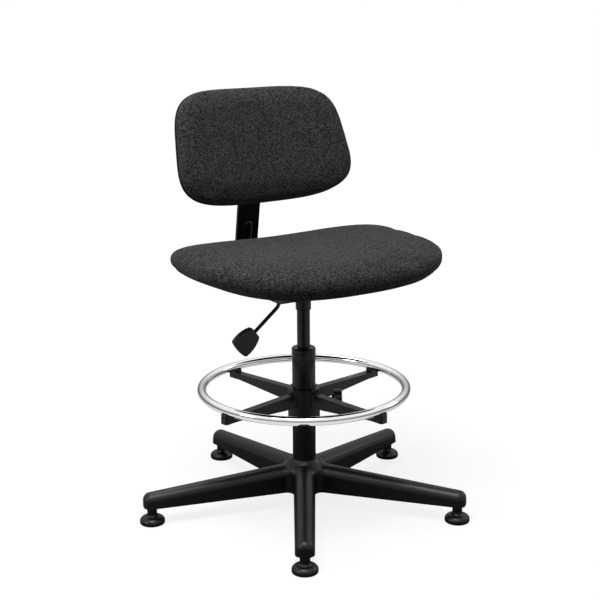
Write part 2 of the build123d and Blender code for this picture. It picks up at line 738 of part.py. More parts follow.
# Moulded seat board, its bolts and tee nuts, and the seat cushion above it
HALF_W = SEAT_W / 2
HALF_D = SEAT_D / 2
SLAB_HALF_W = HALF_W + 12
STATIONS = (-1.1, -0.45, 0.25, 1.1)


def side_lift(station):
    """How far the seat's sides stand above its flat middle, less towards the front."""
    return SEAT_SIDE_LIFT * (1 - 0.35 * max(station, 0) ** 2)


def top_fall(station):
    """How far the crown has fallen at a station between the rear, -1, and the front, 1."""
    fall = SEAT_FRONT_FALL if station > 0 else SEAT_REAR_FALL
    return fall * station**2


CHANNEL_Z = BAR_Z - BAR_T / 2 - SLIDE_GAP - CHANNEL_WALL
CHANNEL_IN = BAR_W / 2 + SLIDE_GAP
CHANNEL_OUT = CHANNEL_IN + CHANNEL_WALL
CHANNEL_SCREW_X = CHANNEL_OUT + CHANNEL_FLANGE * 0.55
CHANNEL_SCREWS = [
    (side * CHANNEL_SCREW_X, y) for side in (-1, 1) for y in (CHANNEL_FRONT_Y + 14, CHANNEL_REAR_Y - 14)
]
WOOD_SCREW_R = 2.2

def board_slab(depth_below, grow):
    """Moulded board blank, its underside lowered by depth_below, its top and outline grown."""
    with BuildPart() as slab:
        for station in STATIONS:
            with BuildSketch(
                Plane((0, -(station * HALF_D + SEAT_FORWARD), 0), x_dir=(1, 0, 0), z_dir=(0, -1, 0))
            ):
                rise = side_lift(station)
                low = SEAT_BOTTOM_Z - depth_below
                high = SEAT_BOTTOM_Z + BOARD_THICK + grow
                bend_x = (SEAT_FLAT_HALF_W + SLAB_HALF_W) / 2
                with BuildLine():
                    Line((-SEAT_FLAT_HALF_W, low), (SEAT_FLAT_HALF_W, low))
                    ThreePointArc(
                        (SEAT_FLAT_HALF_W, low), (bend_x, low + rise / 4), (SLAB_HALF_W, low + rise)
                    )
                    Line((SLAB_HALF_W, low + rise), (SLAB_HALF_W, high + rise))
                    ThreePointArc(
                        (SLAB_HALF_W, high + rise), (bend_x, high + rise / 4), (SEAT_FLAT_HALF_W, high)
                    )
                    Line((SEAT_FLAT_HALF_W, high), (-SEAT_FLAT_HALF_W, high))
                    ThreePointArc(
                        (-SEAT_FLAT_HALF_W, high), (-bend_x, high + rise / 4), (-SLAB_HALF_W, high + rise)
                    )
                    Line((-SLAB_HALF_W, high + rise), (-SLAB_HALF_W, low + rise))
                    ThreePointArc(
                        (-SLAB_HALF_W, low + rise), (-bend_x, low + rise / 4), (-SEAT_FLAT_HALF_W, low)
                    )
                make_face()
        loft()
        with BuildSketch(Plane.XY.offset(SEAT_BOTTOM_Z - 30)):
            with BuildLine():
                inset = BOARD_INSET - grow
                outline = superellipse(HALF_W - inset, HALF_D - inset, SEAT_POWER)
                Spline(*[(x, y - SEAT_FORWARD + BOARD_BACK) for x, y in outline], periodic=True)
            make_face()
        extrude(amount=120, mode=Mode.INTERSECT)
    return slab


seat_board = board_slab(0, 0)
board_slot = board_slab(8, SLIDE_GAP / 2)

with BuildPart() as seat_cushion:
    for station in STATIONS:
        with BuildSketch(
            Plane((0, -(station * HALF_D + SEAT_FORWARD), 0), x_dir=(1, 0, 0), z_dir=(0, -1, 0))
        ):
            rise = side_lift(station)
            low = SEAT_BOTTOM_Z
            high = SEAT_TOP_Z - top_fall(station)
            bend_x = (SEAT_FLAT_HALF_W + SLAB_HALF_W) / 2
            with BuildLine():
                Line((-SEAT_FLAT_HALF_W, low), (SEAT_FLAT_HALF_W, low))
                ThreePointArc((SEAT_FLAT_HALF_W, low), (bend_x, low + rise / 4), (SLAB_HALF_W, low + rise))
                Line((SLAB_HALF_W, low + rise), (SLAB_HALF_W, high + SEAT_SIDE_TOP))
                ThreePointArc(
                    (SLAB_HALF_W, high + SEAT_SIDE_TOP), (0, high), (-SLAB_HALF_W, high + SEAT_SIDE_TOP)
                )
                Line((-SLAB_HALF_W, high + SEAT_SIDE_TOP), (-SLAB_HALF_W, low + rise))
                ThreePointArc(
                    (-SLAB_HALF_W, low + rise), (-bend_x, low + rise / 4), (-SEAT_FLAT_HALF_W, low)
                )
            make_face()
    loft()
    with BuildSketch(Plane.XY.offset(SEAT_BOTTOM_Z - 5)):
        with BuildLine():
            outline = superellipse(HALF_W, HALF_D, SEAT_POWER)
            Spline(*[(x, y - SEAT_FORWARD) for x, y in outline], periodic=True)
        make_face()
    extrude(amount=120, mode=Mode.INTERSECT)
    upper = seat_cushion.edges().filter_by(lambda e: e.center().Z > (SEAT_BOTTOM_Z + SEAT_TOP_Z) / 2)
    fillet(upper.filter_by(lambda e: e.length > 60), SEAT_TOP_ROUND)
    lower = seat_cushion.edges().filter_by(lambda e: e.center().Z < SEAT_BOTTOM_Z + SEAT_SIDE_LIFT)
    fillet(lower.filter_by(lambda e: not e.is_interior), SEAT_BOTTOM_ROUND)
    add(board_slot.part, mode=Mode.SUBTRACT)
keep(seat_cushion, "seat_cushion")

TEE_TOP_Z = SEAT_BOTTOM_Z + BOARD_THICK
with BuildPart() as board_drilled:
    add(seat_board.part)
    with BuildSketch(Plane.XY.offset(SEAT_BOTTOM_Z - 1)):
        with Locations(*BOLT_SPOTS):
            Circle(TEE_BARREL_R)
    extrude(amount=BOARD_THICK + 2, mode=Mode.SUBTRACT)
    with BuildSketch(Plane.XY.offset(TEE_TOP_Z - TEE_FLANGE_H)):
        with Locations(*BOLT_SPOTS):
            Circle(TEE_FLANGE_R)
    extrude(amount=TEE_FLANGE_H + 1, mode=Mode.SUBTRACT)
    with BuildSketch(Plane.XY.offset(SEAT_BOTTOM_Z - 1)):
        with Locations(*CHANNEL_SCREWS):
            Circle(WOOD_SCREW_R)
    extrude(amount=BOARD_THICK - 1, mode=Mode.SUBTRACT)
keep(board_drilled, "seat_board")

with BuildPart() as seat_tee_nuts:
    with BuildSketch(Plane.XY.offset(SEAT_BOTTOM_Z)):
        with Locations(*BOLT_SPOTS):
            Circle(TEE_BARREL_R)
    extrude(amount=BOARD_THICK - TEE_FLANGE_H)
    with BuildSketch(Plane.XY.offset(TEE_TOP_Z - TEE_FLANGE_H)):
        with Locations(*BOLT_SPOTS):
            Circle(TEE_FLANGE_R)
    extrude(amount=TEE_FLANGE_H)
    with BuildSketch(Plane.XY.offset(SEAT_BOTTOM_Z)):
        with Locations(*BOLT_SPOTS):
            Circle(BOLT_R + FIT_GAP)
    extrude(amount=BOARD_THICK, mode=Mode.SUBTRACT)
keep(seat_tee_nuts, "seat_tee_nuts")

with BuildPart() as seat_bolts:
    with BuildSketch(Plane.XY.offset(FLANGE_Z - BOLT_HEAD_H)):
        with Locations(*BOLT_SPOTS):
            RegularPolygon(BOLT_HEAD_R, 6)
    extrude(amount=BOLT_HEAD_H)
    with BuildSketch(Plane.XY.offset(FLANGE_Z)):
        with Locations(*BOLT_SPOTS):
            Circle(BOLT_R)
    extrude(amount=SHEET + BOARD_THICK - 2)
keep(seat_bolts, "seat_bolts")

# Channel under the rear of the seat that the back bar slides in, its wear strip, screws and knob
DEPTH_SEAT = Plane((0, DEPTH_KNOB_Y, CHANNEL_Z - NUT_H), x_dir=(1, 0, 0), z_dir=(0, 0, -1))
with BuildPart() as bar_channel:
    with BuildSketch(Plane((0, CHANNEL_FRONT_Y, 0), x_dir=(-1, 0, 0), z_dir=(0, 1, 0))):
        with Locations((0, (CHANNEL_Z + SEAT_BOTTOM_Z) / 2)):
            Rectangle(2 * CHANNEL_OUT, SEAT_BOTTOM_Z - CHANNEL_Z)
        with Locations((0, SEAT_BOTTOM_Z - SHEET / 2)):
            Rectangle(2 * (CHANNEL_OUT + CHANNEL_FLANGE), SHEET)
        with Locations((0, (CHANNEL_Z + CHANNEL_WALL + SEAT_BOTTOM_Z) / 2)):
            Rectangle(2 * CHANNEL_IN, SEAT_BOTTOM_Z - CHANNEL_Z - CHANNEL_WALL, mode=Mode.SUBTRACT)
    extrude(amount=CHANNEL_L)
    with BuildSketch(Plane.XY.offset(FLANGE_Z - 1)):
        with Locations(*CHANNEL_SCREWS):
            Circle(WOOD_SCREW_R + 0.2)
    extrude(amount=SHEET + 2, mode=Mode.SUBTRACT)
    with BuildSketch(DEPTH_SEAT):
        RegularPolygon(NUT_R, 6)
    extrude(amount=-NUT_H)
    with BuildSketch(DEPTH_SEAT.offset(1)):
        Circle(SCREW_R + FIT_GAP)
    extrude(amount=-NUT_H - CHANNEL_WALL - 2, mode=Mode.SUBTRACT)
keep(bar_channel, "bar_channel")

with BuildPart() as wear_strip:
    with BuildSketch(Plane.XY.offset(BAR_Z + BAR_T / 2 + SLIDE_GAP)):
        with Locations((0, (CHANNEL_FRONT_Y + CHANNEL_REAR_Y) / 2)):
            RectangleRounded(BAR_W, CHANNEL_L - 4, 3)
    extrude(amount=SEAT_BOTTOM_Z - BAR_Z - BAR_T / 2 - SLIDE_GAP)
keep(wear_strip, "wear_strip")

with BuildPart() as channel_screws:
    with BuildSketch(Plane.XY.offset(FLANGE_Z - 3)):
        with Locations(*CHANNEL_SCREWS):
            Circle(WOOD_SCREW_R * 2)
    extrude(amount=3)
    with BuildSketch(Plane.XY.offset(FLANGE_Z)):
        with Locations(*CHANNEL_SCREWS):
            Circle(WOOD_SCREW_R)
    extrude(amount=SHEET + BOARD_THICK - 4)
keep(channel_screws, "channel_screws")

depth_knob, depth_screw = clamp_knob(DEPTH_SEAT, NUT_H + CHANNEL_WALL)
keep(depth_knob, "depth_knob")
keep(depth_screw, "depth_screw")

# Bent flat bar with its pressed stiffening bead
LEAN = math.tan(math.radians(BAR_LEAN))
KNEE_Y = BAR_CORNER_Y - (BAR_KNEE_Z - BAR_Z) * LEAN
RECLINE = math.radians(BACK_RECLINE)
BAR_TOP_Y = KNEE_Y + BAR_UPPER_L * math.sin(RECLINE)
BAR_TOP_Z = BAR_KNEE_Z + BAR_UPPER_L * math.cos(RECLINE)
BEAD_SHIFT = BAR_T / 2
BEAD_CORNER_Y = BAR_CORNER_Y - BEAD_SHIFT / math.cos(math.radians(BAR_LEAN)) - BEAD_SHIFT * LEAN
BEAD_LOW_Z = BAR_Z + BEAD_SHIFT
BEAD_TOP_Y = BEAD_CORNER_Y - (BEAD_TOP_Z - BEAD_LOW_Z) * LEAN

with BuildPart() as back_bar:
    with BuildLine() as bar_path:
        FilletPolyline(
            (0, BAR_FRONT_Y, BAR_Z),
            (0, BAR_CORNER_Y, BAR_Z),
            (0, KNEE_Y, BAR_KNEE_Z),
            (0, BAR_TOP_Y, BAR_TOP_Z),
            radius=[BAR_BEND_R, BAR_KNEE_R],
        )
    with BuildSketch(Plane((0, BAR_FRONT_Y, BAR_Z), x_dir=(1, 0, 0), z_dir=(0, 1, 0))):
        Rectangle(BAR_W, BAR_T)
    sweep(path=bar_path.line)
    top_corners = back_bar.edges().filter_by(
        lambda e: abs(e.length - BAR_T) < 0.01 and e.center().Z > BAR_TOP_Z - 5
    )
    fillet(top_corners, 12)
    with BuildLine() as bead_path:
        FilletPolyline(
            (0, BEAD_CORNER_Y - BAR_BEND_R * 1.12, BEAD_LOW_Z),
            (0, BEAD_CORNER_Y, BEAD_LOW_Z),
            (0, BEAD_TOP_Y, BEAD_TOP_Z),
            radius=BAR_BEND_R - BEAD_SHIFT,
        )
    with BuildSketch(
        Plane((0, BEAD_CORNER_Y - BAR_BEND_R * 1.12, BEAD_LOW_Z), x_dir=(1, 0, 0), z_dir=(0, 1, 0))
    ):
        Ellipse(BEAD_W / 2, BEAD_H)
    sweep(path=bead_path.line)
    bead_end = Plane((0, BEAD_TOP_Y, BEAD_TOP_Z), x_dir=(1, 0, 0), z_dir=(0, -LEAN, 1))
    with BuildSketch(bead_end):
        Ellipse(BEAD_W / 2, BEAD_H)
        with Locations((-BEAD_W / 2, 0)):
            Rectangle(BEAD_W, 3 * BEAD_H, mode=Mode.SUBTRACT)
    revolve(axis=Axis(bead_end.origin, bead_end.y_dir))
keep(back_bar, "back_bar")

# Backrest: local X across, local Y up the recline, local Z backwards from the middle of its pad
BACK_AXIS = Vector(0, math.cos(RECLINE), -math.sin(RECLINE))
UP_AXIS = Vector(0, math.sin(RECLINE), math.cos(RECLINE))
BACK_CENTRE = Vector(0, KNEE_Y, BAR_KNEE_Z) + UP_AXIS * BACK_UP_BAR - BACK_AXIS * BAR_BEHIND
BACK_PLANE = Plane(BACK_CENTRE, x_dir=(-1, 0, 0), z_dir=BACK_AXIS)
BAND_PLANE = Plane(BACK_CENTRE - UP_AXIS * BACK_H, x_dir=(-1, 0, 0), z_dir=UP_AXIS)


def curved_slab(grow, front, rear):
    """Backrest outline grown by an amount, between two depths behind the curved middle sheet."""
    with BuildPart() as slab:
        with BuildSketch(BAND_PLANE):
            with Locations((0, BACK_CURVE_R)):
                Circle(BACK_CURVE_R + rear)
                Circle(BACK_CURVE_R + front, mode=Mode.SUBTRACT)
        extrude(amount=2 * BACK_H)
        with BuildSketch(BACK_PLANE.offset(-130)):
            with BuildLine():
                outline = superellipse(BACK_W / 2 + grow, BACK_H / 2 + grow, BACK_POWER, BACK_TAPER)
                Spline(*outline, periodic=True)
            make_face()
        extrude(amount=200, mode=Mode.INTERSECT)
    return slab


def depth_behind(edge):
    """Mean distance of an edge behind the curved middle sheet."""
    total = 0
    for step in range(8):
        spot = edge.position_at(step / 8) - BACK_CENTRE
        across = spot.X
        total += spot.dot(BACK_AXIS) + BACK_CURVE_R - math.sqrt(BACK_CURVE_R**2 - across**2)
    return total / 8


pad_blank = curved_slab(0, -BACK_PAD_T, -SLIDE_GAP)
with BuildPart() as back_cushion:
    add(pad_blank.part)
    front_rim = back_cushion.edges().filter_by(lambda e: depth_behind(e) < -BACK_PAD_T + 1)
    fillet(front_rim, BACK_PAD_ROUND)
    rear_rim = back_cushion.edges().filter_by(lambda e: depth_behind(e) > -1)
    fillet(rear_rim, 4)
keep(back_cushion, "back_cushion")

PANEL_GROW = -2 * SHELL_WALL
panel_blank = curved_slab(PANEL_GROW, 0, BACK_PANEL_T)
BACK_SCREWS = [(a * BACK_SCREW_X, b * BACK_SCREW_T) for a in (-1, 1) for b in (-1, 1)]
with BuildPart() as back_panel:
    add(panel_blank.part)
    with BuildSketch(BACK_PLANE.offset(2.5)):
        with Locations(*BACK_SCREWS):
            Circle(WOOD_SCREW_R)
    extrude(amount=BACK_PANEL_T, mode=Mode.SUBTRACT)
keep(back_panel, "back_panel")

shell_blank = curved_slab(SHELL_LIP, 0, SHELL_DEPTH)
shell_hollow = curved_slab(SHELL_LIP - SHELL_WALL, -10, SHELL_DEPTH - SHELL_WALL - 1)
with BuildPart() as back_shell:
    add(shell_blank.part)
    rear_rim = back_shell.edges().filter_by(lambda e: depth_behind(e) > SHELL_DEPTH - 1)
    fillet(rear_rim, SHELL_ROUND)
    add(shell_hollow.part, mode=Mode.SUBTRACT)
    with BuildSketch(BACK_PLANE.offset(SHELL_DEPTH - SHELL_WALL - 0.5)):
        RectangleRounded(BRACKET_W + 10, BRACKET_H + 10, 8)
    extrude(amount=PLATE_B - SHELL_DEPTH + SHELL_WALL + 0.5)
    with BuildSketch(BACK_PLANE.offset(BACK_PANEL_T + SLIDE_GAP)):
        with Locations(*BACK_SCREWS):
            Circle(WOOD_SCREW_R + 4)
    extrude(amount=SHELL_DEPTH - BACK_PANEL_T - SHELL_WALL)
    with BuildSketch(BACK_PLANE.offset(BACK_PANEL_T - 2)):
        with Locations(*BACK_SCREWS):
            Circle(WOOD_SCREW_R + 0.2)
    extrude(amount=SHELL_DEPTH, mode=Mode.SUBTRACT)
keep(back_shell, "back_shell")

# Steel bracket that carries the backrest on the bar, with its height knob
BAR_FRONT_B = BAR_BEHIND - BAR_T / 2 - SLIDE_GAP
BAR_REAR_B = BAR_BEHIND + BAR_T / 2 + SLIDE_GAP
SLEEVE_REAR_B = BAR_REAR_B + SLEEVE_WALL
SLEEVE_PLANE = Plane(
    BACK_CENTRE + UP_AXIS * (SLEEVE_SHIFT - SLEEVE_H / 2), x_dir=(1, 0, 0), z_dir=UP_AXIS
)
HEIGHT_SEAT = Plane(
    BACK_CENTRE + UP_AXIS * SLEEVE_SHIFT + BACK_AXIS * (SLEEVE_REAR_B + NUT_H),
    x_dir=(-1, 0, 0),
    z_dir=BACK_AXIS,
)
with BuildPart() as back_bracket:
    with BuildSketch(BACK_PLANE.offset(PLATE_B)):
        RectangleRounded(BRACKET_W, BRACKET_H, 8)
        with Locations(*BACK_SCREWS):
            Circle(WOOD_SCREW_R + 0.2, mode=Mode.SUBTRACT)
    extrude(amount=BRACKET_T)
    with BuildSketch(SLEEVE_PLANE):
        with Locations((0, (PLATE_B + SLEEVE_REAR_B) / 2)):
            Rectangle(2 * (SLEEVE_IN + SLEEVE_WALL), SLEEVE_REAR_B - PLATE_B)
        with Locations((0, (BAR_FRONT_B + BAR_REAR_B) / 2)):
            Rectangle(2 * SLEEVE_IN, BAR_REAR_B - BAR_FRONT_B, mode=Mode.SUBTRACT)
        pocket_b = PLATE_B + BRACKET_T
        pocket_end = BAR_FRONT_B - SLEEVE_WALL
        with Locations((0, (pocket_b + pocket_end) / 2)):
            Rectangle(2 * SLEEVE_IN, pocket_end - pocket_b, mode=Mode.SUBTRACT)
    extrude(amount=SLEEVE_H)
    with BuildSketch(HEIGHT_SEAT):
        RegularPolygon(NUT_R, 6)
    extrude(amount=-NUT_H)
    with BuildSketch(HEIGHT_SEAT.offset(1)):
        Circle(SCREW_R + FIT_GAP)
    extrude(amount=-NUT_H - SLEEVE_WALL - 1.2, mode=Mode.SUBTRACT)
keep(back_bracket, "back_bracket")

with BuildPart() as bracket_screws:
    with BuildSketch(BACK_PLANE.offset(3)):
        with Locations(*BACK_SCREWS):
            Circle(WOOD_SCREW_R)
    extrude(amount=PLATE_B + BRACKET_T - 3)
    with BuildSketch(BACK_PLANE.offset(PLATE_B + BRACKET_T)):
        with Locations(*BACK_SCREWS):
            Circle(WOOD_SCREW_R * 2)
    extrude(amount=2.6)
keep(bracket_screws, "bracket_screws")

height_knob, height_screw = clamp_knob(HEIGHT_SEAT, NUT_H + SLEEVE_WALL)
keep(height_knob, "height_knob")
keep(height_screw, "height_screw")

# Footring: chromed ring on saddles at the ends of four moulded spokes round a sliding collar
with BuildPart() as footring_ring:
    with Locations((0, 0, RING_Z)):
        Torus(RING_R, RING_TUBE_R)
keep(footring_ring, "footring_ring")

RING_BOSS_DIR = unit(RING_KNOB_ANGLE)
RING_KNOB_SEAT = Plane(
    RING_BOSS_DIR * RING_KNOB_SEAT_R + Vector(0, 0, RING_KNOB_Z), z_dir=RING_BOSS_DIR
)
SPOKE_FOOT_Z = SPOKE_TIP_TOP_Z - SPOKE_TIP_H
with BuildPart() as spoke:
    with BuildSketch(Plane((0, 0, 0), x_dir=(1, 0, 0), z_dir=(0, -1, 0))):
        Polygon(
            (TUBE_R + 4, SPOKE_ROOT_TOP_Z),
            (SPOKE_FLAT_R, SPOKE_TIP_TOP_Z),
            (SPOKE_TIP_R, SPOKE_TIP_TOP_Z),
            (SPOKE_TIP_R, SPOKE_FOOT_Z),
            (SPOKE_FLAT_R, SPOKE_FOOT_Z),
            (TUBE_R + 40, SPOKE_ROOT_TOP_Z - SPOKE_ROOT_H),
            (TUBE_R + 4, SPOKE_ROOT_TOP_Z - SPOKE_ROOT_H),
            align=None,
        )
    extrude(amount=SPOKE_W / 2, both=True)
    tip_corners = spoke.edges().filter_by(
        lambda e: e.center().X > SPOKE_TIP_R - 1 and abs(e.tangent_at(0.5).Z) > 0.9
    )
    fillet(tip_corners, 4)

with BuildPart() as footring_hub:
    with BuildSketch(Plane.XY.offset(RING_HUB_BOTTOM_Z)):
        Circle(RING_HUB_R)
    extrude(amount=RING_HUB_TOP_Z - RING_HUB_BOTTOM_Z)
    with PolarLocations(0, SPOKE_COUNT, start_angle=SPOKE_ANGLE):
        add(spoke.part)
    corners = footring_hub.edges().filter_by(
        lambda e: Vector(e.center().X, e.center().Y, 0).length < RING_HUB_R + 1
        and abs(e.tangent_at(0.5).Z) > 0.9
        and SPOKE_ROOT_TOP_Z - SPOKE_ROOT_H < e.center().Z < SPOKE_ROOT_TOP_Z
    )
    fillet(corners, SPOKE_CROTCH_ROUND)
    with BuildSketch(RING_KNOB_SEAT):
        Circle(RING_BOSS_R)
    extrude(amount=-RING_KNOB_SEAT_R + TUBE_R + 4)
    with BuildSketch(Plane.XY.offset(RING_HUB_BOTTOM_Z - 1)):
        Circle(TUBE_R + SLIDE_GAP)
    extrude(amount=RING_HUB_TOP_Z - RING_HUB_BOTTOM_Z + 2, mode=Mode.SUBTRACT)
    with BuildSketch(RING_KNOB_SEAT.offset(1)):
        Circle(SCREW_R + FIT_GAP)
    extrude(amount=-RING_KNOB_SEAT_R + TUBE_R - 4, mode=Mode.SUBTRACT)
    with BuildSketch(Plane.XY.offset(SPOKE_FOOT_Z - 1)):
        with PolarLocations(RING_R, SPOKE_COUNT, start_angle=SPOKE_ANGLE):
            Circle(WOOD_SCREW_R + FIT_GAP)
    extrude(amount=SPOKE_TIP_H + 2, mode=Mode.SUBTRACT)
keep(footring_hub, "footring_hub")

with BuildPart() as ring_saddles:
    with BuildSketch(Plane.XY.offset(SPOKE_TIP_TOP_Z)):
        with PolarLocations(RING_R, SPOKE_COUNT, start_angle=SPOKE_ANGLE):
            RectangleRounded(SADDLE_L, SPOKE_W, 3)
    extrude(amount=SADDLE_TOP_Z - SPOKE_TIP_TOP_Z)
    with Locations((0, 0, RING_Z)):
        Torus(RING_R, RING_TUBE_R + FIT_GAP, mode=Mode.SUBTRACT)
    with BuildSketch(Plane.XY.offset(SPOKE_TIP_TOP_Z - 1)):
        with PolarLocations(RING_R, SPOKE_COUNT, start_angle=SPOKE_ANGLE):
            Circle(WOOD_SCREW_R + FIT_GAP)
    extrude(amount=RING_Z - SPOKE_TIP_TOP_Z, mode=Mode.SUBTRACT)
keep(ring_saddles, "ring_saddles")

with BuildPart() as saddle_screws:
    with BuildSketch(Plane.XY.offset(SPOKE_FOOT_Z - 3)):
        with PolarLocations(RING_R, SPOKE_COUNT, start_angle=SPOKE_ANGLE):
            Circle(WOOD_SCREW_R * 2)
    extrude(amount=3)
    with BuildSketch(Plane.XY.offset(SPOKE_FOOT_Z)):
        with PolarLocations(RING_R, SPOKE_COUNT, start_angle=SPOKE_ANGLE):
            Circle(WOOD_SCREW_R)
    extrude(amount=RING_Z - RING_TUBE_R - SPOKE_FOOT_Z - 0.5)
keep(saddle_screws, "saddle_screws")

ring_knob, ring_screw = clamp_knob(RING_KNOB_SEAT, RING_KNOB_SEAT_R - TUBE_R - SLIDE_GAP, RING_KNOB_STAND)
keep(ring_knob, "ring_knob")
keep(ring_screw, "ring_screw")

if __name__ == "__main__":
    os.makedirs("parts", exist_ok=True)
    for piece in pieces:
        export_step(piece, f"parts/{piece.label}.step")
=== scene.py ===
# %% [markdown]
# # A drafting chair, dressed and lit
#
# The hard parts of this chair, such as its star base, column, footring and back bar, come ready
# made as a frame of CAD nodes. This lesson gives each of them the finish of its real material,
# makes the two upholstered cushions as soft goods, and sets the chair in a plain white studio.
# Everything is in metres, in the frame's own axes: the chair faces -Y and stands on z = 0.

# %% Load the frame
import json
import math

import bpy
import numpy as np
from mathutils import Matrix, Vector


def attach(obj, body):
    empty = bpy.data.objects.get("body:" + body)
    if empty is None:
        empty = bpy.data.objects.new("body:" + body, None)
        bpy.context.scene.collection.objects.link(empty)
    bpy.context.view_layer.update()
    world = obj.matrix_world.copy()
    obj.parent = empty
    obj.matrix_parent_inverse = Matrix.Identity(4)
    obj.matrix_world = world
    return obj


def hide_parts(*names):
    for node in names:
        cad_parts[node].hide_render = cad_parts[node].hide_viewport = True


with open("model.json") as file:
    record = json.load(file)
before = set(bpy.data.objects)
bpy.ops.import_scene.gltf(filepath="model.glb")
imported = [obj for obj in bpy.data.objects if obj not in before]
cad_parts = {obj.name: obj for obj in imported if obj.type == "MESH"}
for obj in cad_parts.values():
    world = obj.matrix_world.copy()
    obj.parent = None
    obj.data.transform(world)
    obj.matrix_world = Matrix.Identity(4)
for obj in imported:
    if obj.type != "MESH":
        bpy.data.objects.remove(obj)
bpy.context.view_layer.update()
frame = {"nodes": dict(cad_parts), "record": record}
nodes = frame["nodes"]

# %% [markdown]
# ## Small helpers for materials
#
# A Blender material is a little network of nodes. Building one by hand takes many lines, so a few
# helpers keep the recipes short: they add a node and fill or link its sockets, start a material
# with its Principled shader, grade a value, mix two colours and turn a pattern into relief.
# Patterns read Object coordinates, so they stay where they are on a piece however it is turned.


# %% Material helpers
def add_node(tree, kind, **sockets):
    """Adds a shader node; a socket given as a node output is linked, anything else is set."""
    made = tree.nodes.new(kind)
    for name, value in sockets.items():
        if hasattr(made, name) and name not in made.inputs:
            setattr(made, name, value)
            continue
        socket = made.inputs[name.replace("_", " ")]
        if isinstance(value, bpy.types.NodeSocket):
            tree.links.new(value, socket)
        else:
            socket.default_value = value
    return made


def new_finish(name, colour, roughness, metallic=0.0):
    """Starts a material and returns it with its tree, its shader and its Object coordinates."""
    material = bpy.data.materials.new(name)
    material.use_nodes = True
    tree = material.node_tree
    shader = tree.nodes["Principled BSDF"]
    shader.inputs["Base Color"].default_value = (*colour, 1)
    shader.inputs["Roughness"].default_value = roughness
    shader.inputs["Metallic"].default_value = metallic
    where = tree.nodes.new("ShaderNodeTexCoord").outputs["Object"]
    return material, tree, shader, where


def spread(tree, value, low, high, start=0.0, stop=1.0, easing="LINEAR"):
    """Maps a value that runs from start to stop onto the range low to high."""
    ranged = add_node(tree, "ShaderNodeMapRange", Value=value, interpolation_type=easing)
    limits = {"From Min": start, "From Max": stop, "To Min": low, "To Max": high}
    for name, limit in limits.items():
        ranged.inputs[name].default_value = limit
    return ranged.outputs["Result"]


def tint(tree, factor, dark, light):
    """Mixes two colours by a factor."""
    ramp = tree.nodes.new("ShaderNodeValToRGB")
    ramp.color_ramp.elements[0].color = (*dark, 1)
    ramp.color_ramp.elements[1].color = (*light, 1)
    tree.links.new(factor, ramp.inputs["Fac"])
    return ramp.outputs["Color"]


def relief(tree, shader, height, depth, strength=1.0):
    """Turns a height pattern into bump of a given depth in metres."""
    bump = add_node(tree, "ShaderNodeBump", Height=height, Strength=strength, Distance=depth)
    tree.links.new(bump.outputs["Normal"], shader.inputs["Normal"])


print("material helpers ready")

# %% [markdown]
# ## Moulded nylon, enamel, chrome and the rest
#
# The base and footring spokes are black glass-filled nylon: satin, with a faint pebble from the
# mould and slightly blotchy gloss. The column, bar and brackets are black enamel on steel, which
# is glossier and shows a soft orange-peel. The ring is chrome, and the hidden hardware is plain
# zinc. Painted, moulded and bare surfaces vary their roughness a little, because no real one is
# even. The chrome is a perfect mirror, and only its tint varies.


# %% Hard finishes
def moulded_nylon(name, colour=(0.007, 0.007, 0.0075), gloss=0.33):
    """Satin black plastic: fine mould pebble and uneven gloss."""
    material, tree, shader, where = new_finish(name, colour, gloss)
    pebble = add_node(tree, "ShaderNodeTexNoise", Vector=where, Scale=1400.0, Detail=2.0)
    blotch = add_node(tree, "ShaderNodeTexNoise", Vector=where, Scale=28.0, Detail=4.0)
    light = tuple(c * 1.5 for c in colour)
    tree.links.new(tint(tree, blotch.outputs["Fac"], colour, light), shader.inputs["Base Color"])
    uneven = spread(tree, blotch.outputs["Fac"], gloss - 0.08, gloss + 0.10)
    tree.links.new(uneven, shader.inputs["Roughness"])
    shader.inputs["Specular IOR Level"].default_value = 0.50
    relief(tree, shader, pebble.outputs["Fac"], 0.00012, 0.35)
    return material


def black_enamel(name, colour=(0.005, 0.005, 0.0055), gloss=0.26):
    """Black powder coat on steel: semi-gloss with a soft orange-peel."""
    material, tree, shader, where = new_finish(name, colour, gloss)
    peel = add_node(tree, "ShaderNodeTexNoise", Vector=where, Scale=420.0, Detail=1.0)
    haze = add_node(tree, "ShaderNodeTexNoise", Vector=where, Scale=35.0, Detail=3.0)
    light = tuple(c * 1.6 for c in colour)
    tree.links.new(tint(tree, haze.outputs["Fac"], colour, light), shader.inputs["Base Color"])
    tree.links.new(spread(tree, haze.outputs["Fac"], gloss - 0.05, gloss + 0.09), shader.inputs["Roughness"])
    shader.inputs["Specular IOR Level"].default_value = 0.42
    relief(tree, shader, peel.outputs["Fac"], 0.00008, 0.3)
    return material


def bright_metal(name, colour, gloss, streak=(60.0, 60.0, 60.0)):
    """Bare or plated metal, its roughness drawn out into faint streaks."""
    material, tree, shader, where = new_finish(name, colour, gloss, 1.0)
    drawn = add_node(tree, "ShaderNodeMapping", Vector=where)
    drawn.inputs["Scale"].default_value = streak
    grain = add_node(tree, "ShaderNodeTexNoise", Vector=drawn.outputs["Vector"], Scale=4.0, Detail=5.0)
    dark = tuple(c * 0.9 for c in colour)
    tree.links.new(tint(tree, grain.outputs["Fac"], dark, colour), shader.inputs["Base Color"])
    if gloss:
        drawn_out = spread(tree, grain.outputs["Fac"], gloss * 0.7, gloss * 1.5)
        tree.links.new(drawn_out, shader.inputs["Roughness"])
    return material


